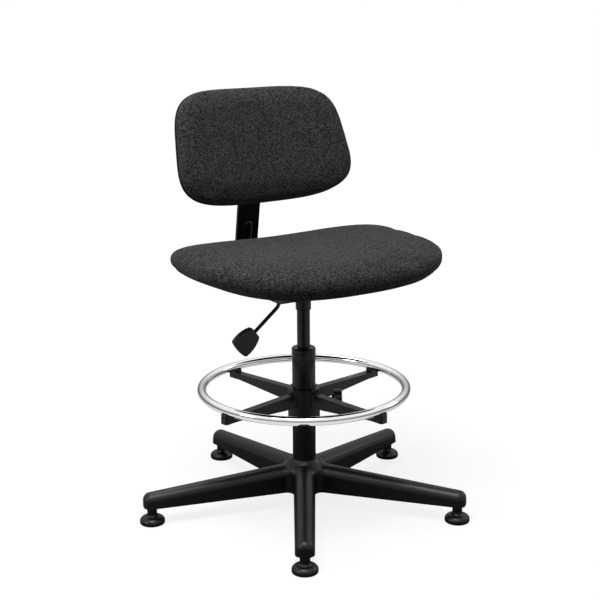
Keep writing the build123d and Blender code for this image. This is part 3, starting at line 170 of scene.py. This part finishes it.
def moulded_ply(name):
    """Beech plywood: long grain along X, with darker pores."""
    material, tree, shader, where = new_finish(name, (0.5, 0.33, 0.18), 0.55)
    along = add_node(tree, "ShaderNodeMapping", Vector=where)
    along.inputs["Scale"].default_value = (6.0, 70.0, 70.0)
    grain = add_node(tree, "ShaderNodeTexNoise", Vector=along.outputs["Vector"], Scale=2.0, Detail=6.0)
    tree.links.new(
        tint(tree, grain.outputs["Fac"], (0.34, 0.20, 0.10), (0.60, 0.42, 0.25)), shader.inputs["Base Color"]
    )
    relief(tree, shader, grain.outputs["Fac"], 0.0002, 0.4)
    return material


nylon = moulded_nylon("moulded_nylon")
shell_plastic = moulded_nylon("back_shell_plastic", (0.009, 0.009, 0.0095), 0.30)
paddle_plastic = moulded_nylon("lever_paddle_plastic", (0.010, 0.010, 0.0105), 0.36)
enamel = black_enamel("black_enamel")
column_gloss = black_enamel("column_gloss", (0.004, 0.004, 0.0045), 0.18)
chrome = bright_metal("ring_chrome", (0.90, 0.91, 0.92), 0.0)
zinc = bright_metal("zinc_hardware", (0.55, 0.55, 0.56), 0.34, (25.0, 25.0, 160.0))
rubber = moulded_nylon("buffer_rubber", (0.016, 0.015, 0.015), 0.72)
ply = moulded_ply("moulded_ply")

# %% [markdown]
# ## Dressing the CAD nodes
#
# A node keeps its own mesh and only gets a new material in its slot. The record already sorts the
# nodes into slots such as steel or black paint, so most of them are dressed slot by slot, and a
# few pieces that look different in the photograph are named one by one.

# %% Dress the nodes
by_slot = {"black_nylon": nylon, "black_paint": enamel, "chrome": chrome, "steel": zinc,
           "rubber": rubber, "plywood": ply}
by_node = {"column_tube": column_gloss, "pressure_cylinder": column_gloss, "guide_bush": column_gloss,
           "back_shell": shell_plastic, "lever_paddle": paddle_plastic}
slot_of = {part["node"]: part["material_slot"] for part in frame["record"]["subparts"]}
for name, thing in nodes.items():
    finish = by_node.get(name, by_slot.get(slot_of[name]))
    if finish:
        thing.data.materials.clear()
        thing.data.materials.append(finish)
print("dressed", sum(1 for thing in nodes.values() if thing.data.materials), "nodes")

# %% [markdown]
# ## Upholstery cloth
#
# Both cushions wear one charcoal cloth, a dense plain weave of black yarn flecked with grey, with
# a little fuzz that catches the light at grazing angles. A weave that follows a flat drawing would
# stretch on the cushion's sides, so the yarns are a fine cell pattern in space. Each cell takes a
# shade of its own for the flecks, noise adds wear, and the fuzz is the shader's sheen.


# %% Upholstery cloth
def charcoal_cloth(name):
    """Flecked charcoal weave: random yarn cells for flecks and relief, noise for wear, sheen for fuzz."""
    material, tree, shader, where = new_finish(name, (0.02, 0.02, 0.021), 0.88)
    yarn = add_node(tree, "ShaderNodeTexVoronoi", Vector=where, Scale=640.0)
    shade = add_node(tree, "ShaderNodeSeparateColor", Color=yarn.outputs["Color"])
    wear = add_node(tree, "ShaderNodeTexNoise", Vector=where, Scale=30.0, Detail=4.0)
    both = add_node(tree, "ShaderNodeMath", operation="MULTIPLY_ADD")
    tree.links.new(wear.outputs["Fac"], both.inputs[0])
    both.inputs[1].default_value = 0.25
    tree.links.new(shade.outputs["Red"], both.inputs[2])
    ramp = tree.nodes.new("ShaderNodeValToRGB")
    ramp.color_ramp.elements[0].position = 0.42
    ramp.color_ramp.elements[0].color = (0.008, 0.008, 0.009, 1)
    ramp.color_ramp.elements[1].position = 1.0
    ramp.color_ramp.elements[1].color = (0.140, 0.140, 0.145, 1)
    tree.links.new(both.outputs["Value"], ramp.inputs["Fac"])
    tree.links.new(ramp.outputs["Color"], shader.inputs["Base Color"])
    shader.inputs["Sheen Weight"].default_value = 0.12
    shader.inputs["Sheen Roughness"].default_value = 0.45
    shader.inputs["Specular IOR Level"].default_value = 0.2
    relief(tree, shader, yarn.outputs["Distance"], 0.0008, 0.6)
    return material


def lining_cloth(name):
    """Thin black non-woven lining: pressed dimples in rows and a dull, fibrous surface."""
    material, tree, shader, where = new_finish(name, (0.012, 0.012, 0.012), 0.85)
    fibre = add_node(tree, "ShaderNodeTexNoise", Vector=where, Scale=260.0, Detail=5.0, Distortion=1.5)
    dimple = add_node(tree, "ShaderNodeTexVoronoi", Vector=where, Scale=380.0, Randomness=0.0)
    shades = tint(tree, fibre.outputs["Fac"], (0.006, 0.006, 0.006), (0.024, 0.024, 0.025))
    tree.links.new(shades, shader.inputs["Base Color"])
    shader.inputs["Specular IOR Level"].default_value = 0.15
    relief(tree, shader, dimple.outputs["Distance"], 0.0004, 0.5)
    return material


cloth = charcoal_cloth("charcoal_cloth")
dust_cloth = lining_cloth("lining_cloth")

# %% [markdown]
# ## A closed cushion from two parameters
#
# A cushion can be drawn like a globe: one parameter runs round it, and the other runs from the
# middle of the top, over the rim, to the middle of the underside. The helper takes such a grid of
# points and closes it into a mesh, with one point at each pole.


# %% Globe-like meshes
def signed_power(values, power):
    """sign(v) * |v|^power, the step that squares off a circle into a superellipse."""
    return np.sign(values) * np.abs(values) ** power


def globe_mesh(name, grid):
    """Mesh of a grid[ring, turn] of points, closed by a pole at each end."""
    rings, turns = grid.shape[:2]
    points = np.concatenate([grid[:1].mean(1), grid.reshape(-1, 3), grid[-1:].mean(1)])
    ring, turn = np.meshgrid(np.arange(rings - 1), np.arange(turns), indexing="ij")
    here = 1 + ring * turns + turn
    beside = 1 + ring * turns + (turn + 1) % turns
    quads = np.stack([here, here + turns, beside + turns, beside], -1).reshape(-1, 4)
    loop = np.arange(turns)
    after = (loop + 1) % turns
    last = 1 + (rings - 1) * turns
    top = np.stack([np.zeros(turns, int), 1 + loop, 1 + after], -1)
    foot = np.stack([np.full(turns, last + turns), last + after, last + loop], -1)
    mesh = bpy.data.meshes.new(name)
    mesh.from_pydata(points.tolist(), [], quads.tolist() + top.tolist() + foot.tolist())
    mesh.update()
    return mesh


def shown(name, mesh, material):
    """Puts a mesh into the scene as a smooth-shaded object with one material."""
    thing = bpy.data.objects.new(name, mesh)
    bpy.context.scene.collection.objects.link(thing)
    mesh.materials.clear()
    mesh.materials.append(material)
    mesh.polygons.foreach_set("use_smooth", np.ones(len(mesh.polygons), bool))
    return thing


print("mesh helpers ready")

# %% [markdown]
# ## The seat cushion's shape
#
# Seen from above the seat is a rounded square. Its sides sweep up a little, its rear edge drops,
# and the top rolls over the rim and under, where the cloth is pulled tight round the moulded
# board. The outline is a superellipse, and the crown above it and the bowl below it are two more,
# so each half is one formula. The bowl flattens out where it rests on the steel mechanism.

# %% Seat cushion shape
SEAT_HALF_W, SEAT_HALF_D, SEAT_POWER = 0.2745, 0.2275, 2.97
SEAT_FORWARD, SEAT_MID_Z = 0.0145, 0.5392
SEAT_CROWN, SEAT_CROWN_POWER = 0.0430, 2.8
SEAT_BOWL, SEAT_BOWL_POWER = 0.0385, 2.75
SEAT_FLAT_Z, SEAT_FLAT_BLEND = 0.5040, 0.0015
SEAT_SIDE_LIFT, SEAT_FRONT_FALL, SEAT_REAR_FALL, SEAT_SLOPE = 0.0211, 0.0007, 0.0222, 0.004


def seat_middle(across, ahead):
    """Height of the seat's middle sheet: sides curve up, the rear falls, the front is nearly level."""
    f = ahead / SEAT_HALF_D
    lift = SEAT_SIDE_LIFT * (across / SEAT_HALF_W) ** 2 * (1 - 0.5 * np.clip(f, 0, 1) ** 2)
    front = SEAT_FRONT_FALL * np.clip((f - 0.2) / 0.8, 0, 1) ** 2
    rear = SEAT_REAR_FALL * np.clip((-f - 0.3) / 0.7, 0, 1) ** 2
    return SEAT_MID_Z + SEAT_SLOPE * ahead + lift - front - rear


def dome(rho, power):
    """Quarter superellipse: 1 in the middle, rho = 0, and 0 at the rim, rho = 1."""
    return np.clip(1 - rho**power, 0, 1) ** (1 / power)


def seat_under(across, ahead, rho):
    """Height of the underside: a bowl below the middle sheet that never sinks below its flat."""
    bowl = seat_middle(across, ahead) - SEAT_BOWL * dome(rho, SEAT_BOWL_POWER)
    return SEAT_FLAT_Z + SEAT_FLAT_BLEND * np.logaddexp(0, (bowl - SEAT_FLAT_Z) / SEAT_FLAT_BLEND)


def seat_spots(rho, turns):
    """Across and ahead positions of rings of the outline shrunk by rho."""
    turn = np.linspace(0, 2 * np.pi, turns, endpoint=False)[None, :]
    round_x = signed_power(np.cos(turn), 2 / SEAT_POWER)
    round_y = signed_power(np.sin(turn), 2 / SEAT_POWER)
    return rho * SEAT_HALF_W * round_x, rho * SEAT_HALF_D * round_y


def seat_rings(across, ahead, height):
    """Grid points from positions across, ahead of the seat's middle, and heights."""
    return np.stack([across, -(ahead + SEAT_FORWARD), height], -1)


def seat_grid(turns=144):
    """Rings from the top's middle over the rim and down the bowl to the underside's middle."""
    rho = np.sin(np.linspace(0.02, 1, 40)[:, None] * np.pi / 2)
    across, ahead = seat_spots(rho, turns)
    top = seat_rings(across, ahead, seat_middle(across, ahead) + SEAT_CROWN * dome(rho, SEAT_CROWN_POWER))
    rho = np.sin(np.linspace(0.97, 0.02, 32)[:, None] * np.pi / 2)
    across, ahead = seat_spots(rho, turns)
    return np.concatenate([top, seat_rings(across, ahead, seat_under(across, ahead, rho))])


seat_shape = globe_mesh("seat_shape", seat_grid())
print("seat cushion drawn with", len(seat_shape.vertices), "points")

# %% [markdown]
# ## The back cushion's shape
#
# The backrest pad is a wide rounded rectangle, a little narrower at the top, bent round the
# sitter. It is easiest to draw flat, in its own axes, and then to carry it onto the bend and the
# recline: across becomes X, up climbs the recline, and depth runs forwards. Its rear edge tucks in
# so that a dark groove shows between the cloth and the plastic shell.

# %% Back cushion shape
BACK_AT, BACK_RECLINE = np.array([0.0, 0.1947, 0.768]), math.radians(16.8)
BACK_HALF_W, BACK_HALF_H, BACK_POWER, BACK_TAPER = 0.2075, 0.1265, 3.94, -0.075
BACK_BEND_R, BACK_CROWN, BACK_CROWN_POWER = 0.661, 0.0330, 4.1
PAD_RIM, PAD_REAR, TUCK_IN, TUCK_DEEP = 0.0045, 0.0007, 0.022, 0.0038


def on_backrest(across, up, ahead):
    """Carries flat backrest coordinates onto the bend (ahead grows by across squared) and recline."""
    bent = BACK_BEND_R - np.sqrt(BACK_BEND_R**2 - across**2) + ahead
    s, c = math.sin(BACK_RECLINE), math.cos(BACK_RECLINE)
    return np.stack([across, BACK_AT[1] - bent * c + up * s, BACK_AT[2] + up * c + bent * s], -1)


def back_grid(turns=128):
    """Rings from the front's middle over the rim, tucked in at the rear, to the rear's middle."""
    turn = np.linspace(0, 2 * np.pi, turns, endpoint=False)[None, :]
    round_x = signed_power(np.cos(turn), 2 / BACK_POWER)
    round_y = signed_power(np.sin(turn), 2 / BACK_POWER)

    def ring(rho, ahead):
        up = rho * BACK_HALF_H * round_y
        across = rho * BACK_HALF_W * round_x * (1 + BACK_TAPER * up / BACK_HALF_H)
        return on_backrest(across, up, ahead + 0 * across)

    bend = np.linspace(0.02, 1, 40)[:, None] * np.pi / 2
    rho = np.sin(bend)
    front = ring(rho, PAD_RIM + BACK_CROWN * dome(rho, BACK_CROWN_POWER))
    curl = np.linspace(0.2, 1, 5)[:, None] * np.pi / 2
    tuck = ring(1 - TUCK_IN * (1 - np.cos(curl)), PAD_RIM - TUCK_DEEP * np.sin(curl))
    rear = ring(np.linspace(0.9, 0.05, 12)[:, None], np.full((12, 1), PAD_REAR))
    return np.concatenate([front, tuck, rear])


back_shape = globe_mesh("back_shape", back_grid())
print("back cushion drawn with", len(back_shape.vertices), "points")

# %% [markdown]
# ## Stuffing the cushions
#
# Foam presses the cloth outwards while staples and the shell hold its edges. Blender's cloth
# simulation does the same: the shape is remeshed into even quads, the points on the board or shell
# are pinned, and a gentle air pressure fills the rest for twenty frames. How far any point may
# move is capped, so the cushion keeps its drawn shape and only gains its plumpness. Behind the seat
# the back bar can be pushed close to the cloth, which is pressed in there to make room for it.


# %% Stuffing by cloth simulation
def remeshed(name, mesh, voxel):
    """Even quads over a shape, by Blender's voxel remesh, then a light smoothing."""
    thing = bpy.data.objects.new(name, mesh)
    bpy.context.scene.collection.objects.link(thing)
    even = thing.modifiers.new("even", "REMESH")
    even.mode, even.voxel_size = "VOXEL", voxel
    calm = thing.modifiers.new("calm", "SMOOTH")
    calm.factor, calm.iterations = 0.5, 4
    dg = bpy.context.evaluated_depsgraph_get()
    made = bpy.data.meshes.new_from_object(thing.evaluated_get(dg))
    bpy.data.objects.remove(thing)
    return made


def points_of(mesh):
    """All vertex positions of a mesh as an array."""
    flat = np.empty(len(mesh.vertices) * 3)
    mesh.vertices.foreach_get("co", flat)
    return flat.reshape(-1, 3)


def stuffed(thing, held, pressure, cap, frames=20):
    """Fills a cushion with air pressure, its held points pinned, and caps how far points move."""
    rest = points_of(thing.data)
    group = thing.vertex_groups.new(name="held")
    group.add(np.flatnonzero(held).tolist(), 1.0, "REPLACE")
    fill = thing.modifiers.new("fill", "CLOTH")
    fill.settings.vertex_group_mass = "held"
    fill.settings.quality = 6
    fill.settings.mass = 0.35
    fill.settings.tension_stiffness = 25
    fill.settings.compression_stiffness = 25
    fill.settings.bending_stiffness = 2.0
    fill.settings.use_pressure = True
    fill.settings.uniform_pressure_force = pressure
    fill.settings.effector_weights.gravity = 0
    fill.collision_settings.use_collision = False
    fill.point_cache.frame_start, fill.point_cache.frame_end = 1, frames
    scene = bpy.context.scene
    for step in range(1, frames + 1):
        scene.frame_set(step)
    dg = bpy.context.evaluated_depsgraph_get()
    moved = points_of(thing.evaluated_get(dg).data) - rest
    thing.modifiers.remove(fill)
    scene.frame_set(1)
    length = np.linalg.norm(moved, axis=1, keepdims=True)
    kept = rest + moved * np.minimum(1, cap / np.maximum(length, 1e-9))
    thing.data.vertices.foreach_set("co", kept.ravel())
    thing.data.update()
    return float(length.max()), float(np.minimum(length, cap).mean())


def cushion(name, shape, voxel, held_by, node, body, pressure, cap):
    """Remeshes, stuffs and subdivides one cushion, and attaches it to its body in place of its CAD solid."""
    mesh = remeshed(name + "_even", shape, voxel)
    mesh.name = name
    thing = shown(name, mesh, cloth)
    held = held_by(points_of(mesh))
    print(name, "free points", int((~held).sum()), "moved", stuffed(thing, held, pressure, cap))
    print(name, "spans", points_of(mesh).min(0).round(4), points_of(mesh).max(0).round(4))
    finer = thing.modifiers.new("finer", "SUBSURF")
    finer.levels = finer.render_levels = 1
    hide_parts(node)
    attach(thing, body)
    return thing


def seat_held(points):
    """Seat points well below the middle sheet, where the cloth is stapled under the board."""
    ahead = -(points[:, 1] + SEAT_FORWARD)
    return points[:, 2] < seat_middle(points[:, 0], ahead) - STAPLE_DROP


def back_held(points):
    """Back-pad points within a few millimetres of the shell."""
    s, c = math.sin(BACK_RECLINE), math.cos(BACK_RECLINE)
    bent = -(points[:, 1] - BACK_AT[1]) * c + (points[:, 2] - BACK_AT[2]) * s
    return bent - (BACK_BEND_R - np.sqrt(BACK_BEND_R**2 - points[:, 0] ** 2)) < SHELL_GRIP


def pressed_by_bar(points):
    """Points behind the bar's beaded front, as it stands when pushed right in, are brought before it.
    The front is the bend's arc and, above it, the arc's tangent along the lean. Beyond the bar's
    edges the press fades out by a smooth step."""
    above = points[:, 2] - BAR_BEND_Z
    arc = np.sqrt(np.maximum(BAR_BEAD_R**2 - above**2, 0))
    tangent = BAR_BEAD_R / math.cos(BAR_LEAN) - above * math.tan(BAR_LEAN)
    front = BAR_BEND_Y + np.where(above < BAR_BEAD_R * math.sin(BAR_LEAN), arc, tangent)
    face = front - BAR_PUSH - BAR_CLEARANCE
    fade = np.clip((PRESS_HALF_W - np.abs(points[:, 0])) / PRESS_FADE, 0, 1)
    fade = fade * fade * (3 - 2 * fade)
    points[:, 1] -= fade * np.maximum(points[:, 1] - face, 0)
    return points


BAR_BEND_Y, BAR_BEND_Z, BAR_BEAD_R, BAR_LEAN = 0.1939, 0.5350, 0.0382, math.radians(9.1)
BAR_PUSH, BAR_CLEARANCE = 0.015, 0.003
STAPLE_DROP, SHELL_GRIP = 0.020, 0.006
PRESS_HALF_W, PRESS_FADE = 0.064, 0.028
seat_pad = cushion("seat_pad", seat_shape, 0.006, seat_held, "seat_cushion", "seat", 3.0, 0.004)
seat_pad.data.vertices.foreach_set("co", pressed_by_bar(points_of(seat_pad.data)).ravel())
seat_pad.data.update()
back_pad = cushion("back_pad", back_shape, 0.005, back_held, "back_cushion", "backrest", 3.0, 0.003)

# %% [markdown]
# ## Under the seat and behind the back
#
# Two covers follow the cushions so closely that they are drawn by the same formulas. Under the
# seat a moulded board, covered with thin black cloth, hugs the bowl. Behind the back pad sits a
# dished plastic shell with a slim rim, which catches a line of light along the edge, and a raised
# flat in the middle for the steel bracket. A third piece, the pressed pan of the mechanism, is
# drawn here with a floor that climbs towards the front, so that it stays hidden under the seat.


# %% Seat underside, back shell and pan
COVER_SHARE, COVER_ABOVE, COVER_BELOW = 0.80, 0.0015, 0.0007
SHELL_HALF_W, SHELL_HALF_H, SHELL_FRONT = 0.2068, 0.1270, 0.0002
PLATE_DEPTH, PLATE_HALF_W, PLATE_HALF_H, PLATE_EDGE, PLATE_FROM = 0.0219, 0.0545, 0.0585, 0.007, 0.012
PAN_HALF_W, PAN_HALF_L, PAN_AHEAD, PAN_POWER, PAN_SHEET = 0.078, 0.075, 0.013, 10, 0.0025
PAN_FLOOR_Z, PAN_FLANGE_Z, PAN_CLIMB, CLIMB_FROM, CLIMB_RUN = 0.466, 0.5005, 0.0145, 0.020, 0.060
CONE_HOLE_R, SLOT_X, SLOT_HALF_L, SLOT_HALF_W = 0.0167, -0.062, 0.011, 0.007
EAR_X, EAR_Y, EAR_R, EAR_PIVOT_Z, EAR_FOOT_Z = -0.045, 0.0028, 0.008, 0.484, 0.468


def underside_grid(turns=144):
    """A thin closed sheet over the bowl, from its upper middle round its edge to its lower middle."""
    rho = np.sin(np.linspace(0.02, 1, 20)[:, None] * np.pi / 2) * COVER_SHARE
    across, ahead = seat_spots(rho, turns)
    upper = seat_rings(across, ahead, seat_under(across, ahead, rho) + COVER_ABOVE)
    lower = seat_rings(across, ahead, seat_under(across, ahead, rho) - COVER_BELOW)
    return np.concatenate([upper, lower[::-1]])


def shell_grid(turns=192, rim=0.0015, deep=0.021):
    """The shell's front sheet, its rim, and a dish whose depth grows as a quarter superellipse."""
    turn = np.linspace(0, 2 * np.pi, turns, endpoint=False)[None, :]
    round_x = signed_power(np.cos(turn), 2 / BACK_POWER)
    round_y = signed_power(np.sin(turn), 2 / BACK_POWER)

    def ring(rho, depth):
        up = rho * SHELL_HALF_H * round_y
        across = rho * SHELL_HALF_W * round_x * (1 + BACK_TAPER * up / SHELL_HALF_H)
        flat = PLATE_DEPTH + BACK_BEND_R - np.sqrt(BACK_BEND_R**2 - across**2)
        near = np.clip((PLATE_HALF_W - np.abs(across)) / PLATE_EDGE, 0, 1)
        near = near * np.clip((PLATE_HALF_H - np.abs(up)) / PLATE_EDGE, 0, 1)
        raised = near * near * (3 - 2 * near) * (depth > PLATE_FROM)
        return on_backrest(across, up, -(depth + raised * np.maximum(flat - depth, 0)))

    front = ring(np.linspace(0.05, 0.985, 16)[:, None], np.full((16, 1), SHELL_FRONT))
    lip = ring(np.array([[0.996], [1.0]]), np.array([[SHELL_FRONT], [0.0008]]))
    rho = np.cos(np.linspace(0.03, 0.98, 70)[:, None] * np.pi / 2)
    rear = ring(rho, rim + (deep - rim) * (1 - rho**4) ** 0.5)
    return np.concatenate([front, lip, rear])


def pan_ring(grow, lift, inner=0.0, turns=192):
    """One ring of the pan: a superellipse that passes into the cone's round hole, at a height above a
    floor that climbs by a smooth step towards the front, and never above the flange."""
    turn = np.linspace(0, 2 * np.pi, turns, endpoint=False)
    c, s = np.cos(turn), np.sin(turn)
    sides = np.abs(c / (PAN_HALF_W + grow)) ** PAN_POWER
    ends = np.abs(s / (PAN_HALF_L + grow)) ** PAN_POWER
    reach = (sides + ends) ** (-1 / PAN_POWER)
    across = (1 - inner) * reach * c + inner * CONE_HOLE_R * c
    along = (1 - inner) * (reach * s - PAN_AHEAD) + inner * CONE_HOLE_R * s
    climb = np.clip((-CLIMB_FROM - along) / CLIMB_RUN, 0, 1)
    floor_z = PAN_FLOOR_Z + PAN_CLIMB * climb * climb * (3 - 2 * climb)
    return np.stack([across, along, np.minimum(floor_z + lift, PAN_FLANGE_Z)], -1)


def pan_mesh():
    """Flange, wall, rounded edge and floor as rings, open at the lever's slot, and two lever ears."""
    steps = [(0.020, 1), (0.002, 1), (0.0005, 0.0335), (0, 0.031), (0, 0.020), (0, 0.010), (0, 0.005),
             (-0.0007, 0.0025), (-0.0025, 0.0007)]
    rings = [pan_ring(*step) for step in steps]
    rings += [pan_ring(-0.005, 0.0, inner) for inner in np.linspace(0, 1, 22)]
    points, turns = np.concatenate(rings), len(rings[0])
    near = np.arange(len(points) - turns).reshape(-1, turns)
    after = np.roll(near, -1, 1)
    quads = np.stack([near, near + turns, after + turns, after], -1).reshape(-1, 4)
    middle = points[quads].mean(1)
    slot = (np.abs(middle[:, 0] - SLOT_X) < SLOT_HALF_L) & (np.abs(middle[:, 1]) < SLOT_HALF_W)
    faces = quads[~slot].tolist()
    arc = np.linspace(0, np.pi, 13)
    ear = np.stack([EAR_X + EAR_R * np.cos(arc), 0 * arc, EAR_PIVOT_Z + EAR_R * np.sin(arc)], -1)
    ear = np.concatenate([ear, [(EAR_X - EAR_R, 0, EAR_FOOT_Z), (EAR_X + EAR_R, 0, EAR_FOOT_Z)]])
    for side in (-1, 1):
        start = len(points)
        points = np.concatenate([points, ear + (0, side * EAR_Y, 0)])
        order = list(range(start, start + len(ear)))
        faces.append(order if side > 0 else order[::-1])
    mesh = bpy.data.meshes.new("sloped_pan")
    mesh.from_pydata(points.tolist(), [], faces)
    return mesh


cover = shown("seat_underside", globe_mesh("seat_underside", underside_grid()), dust_cloth)
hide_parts("seat_board")
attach(cover, "seat")
shell = shown("slim_back_shell", globe_mesh("slim_back_shell", shell_grid()), shell_plastic)
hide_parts("back_shell")
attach(shell, "backrest")
pan = shown("sloped_pan", pan_mesh(), enamel)
sheet = pan.modifiers.new("sheet", "SOLIDIFY")
sheet.thickness, sheet.offset = PAN_SHEET, -1
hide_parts("mech_pan")
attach(pan, "seat")
print("pan drawn with", len(pan.data.vertices), "points")
print("underside and shell drawn with", len(cover.data.vertices), "and", len(shell.data.vertices), "points")

# %% [markdown]
# ## The studio
#
# The photograph has a pure white background and soft light from above. A pale floor carries the
# shadows and is lifted to white for the camera, and to the camera the world is plain white. What
# reflections see is chosen by the kind of ray: the mirror-sharp chrome sees a bright room with a
# dark horizon, and the duller black finishes see a dimmer one with a pale card at either side, as
# a photographer would set up for black goods. Four soft lamps give the light: a large one overhead,
# a small one behind that throws shadows forwards, one from the left and a weak one from the right.


# %% Floor, world and lamps
LAMP_AT, FLOOR_NEAR, FLOOR_R = (-0.75, -0.6, 2.7), 0.82, 60.0
FLOOR_SEEN, FLOOR_BOUNCE = 0.40, 0.15
VIEW_RIGHT = (0.843, -0.537, 0)


def by_ray(tree, camera, mirror, glossy, other):
    """A strength by the ray that asks: camera or clear, mirror-sharp, other glossy, or any other."""
    path = tree.nodes.new("ShaderNodeLightPath")
    clear = add_node(tree, "ShaderNodeMath", operation="MAXIMUM")
    tree.links.new(path.outputs["Is Camera Ray"], clear.inputs[0])
    tree.links.new(path.outputs["Is Transmission Ray"], clear.inputs[1])
    strength = other
    steps = (("Is Glossy Ray", glossy), ("Is Singular Ray", mirror), (None, camera))
    for ray, value in steps:
        choice = add_node(tree, "ShaderNodeMix", data_type="FLOAT")
        tree.links.new(path.outputs[ray] if ray else clear.outputs["Value"], choice.inputs[0])
        for socket, given in ((choice.inputs[2], strength), (choice.inputs[3], value)):
            if isinstance(given, bpy.types.NodeSocket):
                tree.links.new(given, socket)
            else:
                socket.default_value = given
        strength = choice.outputs[0]
    return strength


def studio_floor():
    """A large disc z = 0, lifted towards white for the camera least where the lamp lights it most."""
    turn = np.linspace(0, 2 * np.pi, 96, endpoint=False)
    rim = np.stack([FLOOR_R * np.cos(turn), FLOOR_R * np.sin(turn), 0 * turn], -1)
    mesh = bpy.data.meshes.new("studio_floor")
    mesh.from_pydata(rim.tolist(), [], [list(range(len(rim)))])
    material, tree, shader, where = new_finish("studio_white", [FLOOR_BOUNCE] * 3, 0.9)
    away = add_node(tree, "ShaderNodeVectorMath", operation="DISTANCE")
    tree.links.new(where, away.inputs[0])
    away.inputs[1].default_value = (LAMP_AT[0], LAMP_AT[1], 0)
    seen = spread(tree, away.outputs["Value"], FLOOR_NEAR, 1.0, stop=5.0, easing="SMOOTHERSTEP")
    mirrored = spread(tree, away.outputs["Value"], 0.75, 0.10, start=0.8, stop=3.2)
    aside = add_node(tree, "ShaderNodeVectorMath", operation="DOT_PRODUCT")
    tree.links.new(where, aside.inputs[0])
    aside.inputs[1].default_value = VIEW_RIGHT
    either = add_node(tree, "ShaderNodeMath", operation="ABSOLUTE")
    tree.links.new(aside.outputs["Value"], either.inputs[0])
    cards = spread(tree, either.outputs["Value"], 0.03, 0.45, start=0.40, stop=0.80)
    lift = by_ray(tree, camera=seen, mirror=mirrored, glossy=cards, other=0.0)
    shade = by_ray(tree, FLOOR_SEEN, FLOOR_BOUNCE, FLOOR_BOUNCE, FLOOR_BOUNCE)
    tree.links.new(shade, shader.inputs["Base Color"])
    shader.inputs["Emission Color"].default_value = (1, 1, 1, 1)
    tree.links.new(lift, shader.inputs["Emission Strength"])
    shader.inputs["Specular IOR Level"].default_value = 0.0
    floor = bpy.data.objects.new("studio_floor", mesh)
    bpy.context.scene.collection.objects.link(floor)
    mesh.materials.append(material)


def studio_world():
    """White to the camera; to reflections a ceiling that darkens towards the horizon; dim as light."""
    world = bpy.data.worlds.new("studio_world")
    bpy.context.scene.world = world
    world.use_nodes = True
    tree = world.node_tree
    tree.nodes.clear()
    outwards = tree.nodes.new("ShaderNodeTexCoord").outputs["Generated"]
    way = add_node(tree, "ShaderNodeSeparateXYZ", Vector=outwards)
    sharp = spread(tree, way.outputs["Z"], 0.04, 1.0, stop=0.55)
    dull = spread(tree, way.outputs["Z"], 0.24, 0.75, stop=0.80)
    strength = by_ray(tree, camera=1.0, mirror=sharp, glossy=dull, other=0.05)
    back = add_node(tree, "ShaderNodeBackground", Strength=strength)
    back.inputs["Color"].default_value = (1, 1, 1, 1)
    out = tree.nodes.new("ShaderNodeOutputWorld")
    tree.links.new(back.outputs["Background"], out.inputs["Surface"])


def soft_lamp(name, at, aim, size, watts):
    """Square area lamp at a place, turned to face a point."""
    lamp = bpy.data.lights.new(name, "AREA")
    lamp.energy, lamp.size = watts, size
    holder = bpy.data.objects.new(name, lamp)
    bpy.context.scene.collection.objects.link(holder)
    holder.location = at
    holder.rotation_euler = (Vector(aim) - Vector(at)).to_track_quat("-Z", "Y").to_euler()


studio_floor()
studio_world()
soft_lamp("overhead", LAMP_AT, (0, 0, 0.4), 1.5, 31)
soft_lamp("behind", (0.1, 1.1, 2.3), (0, 0, 0.2), 0.6, 5)
soft_lamp("left_window", (-2.6, 0.2, 1.5), (0, 0, 0.5), 0.8, 9)
soft_lamp("right_fill", (2.4, -0.6, 1.3), (0, 0, 0.5), 0.7, 4)

# %% [markdown]
# ## The camera
#
# The photograph was taken from about two and a half metres away with a short telephoto lens, from
# the sitter's front right, looking down a little. These values were found by fitting known points
# of the chair, such as the glides and the footring, to the picture.

# %% Camera
TURN, DISTANCE, HEIGHT = math.radians(32.5), 2.5893, 1.1121
HEADING, PITCH, ROLL = math.radians(-32.345), math.radians(90 - 14.14), math.radians(-0.408)
SENSOR, FOCAL_PIXELS, PICTURE_PIXELS = 36.0, 1261.483, 600
camera = bpy.data.objects.new("camera", bpy.data.cameras.new("camera"))
bpy.context.scene.collection.objects.link(camera)
camera.data.sensor_width, camera.data.lens = SENSOR, FOCAL_PIXELS / PICTURE_PIXELS * SENSOR
camera.location = (-DISTANCE * math.sin(TURN), -DISTANCE * math.cos(TURN), HEIGHT)
aim = Matrix.Rotation(HEADING, 3, "Z") @ Matrix.Rotation(PITCH, 3, "X") @ Matrix.Rotation(ROLL, 3, "Z")
camera.rotation_euler = aim.to_euler()
bpy.context.scene.camera = camera
bpy.context.scene.view_settings.view_transform = "Standard"
print("camera at", tuple(round(v, 3) for v in camera.location))
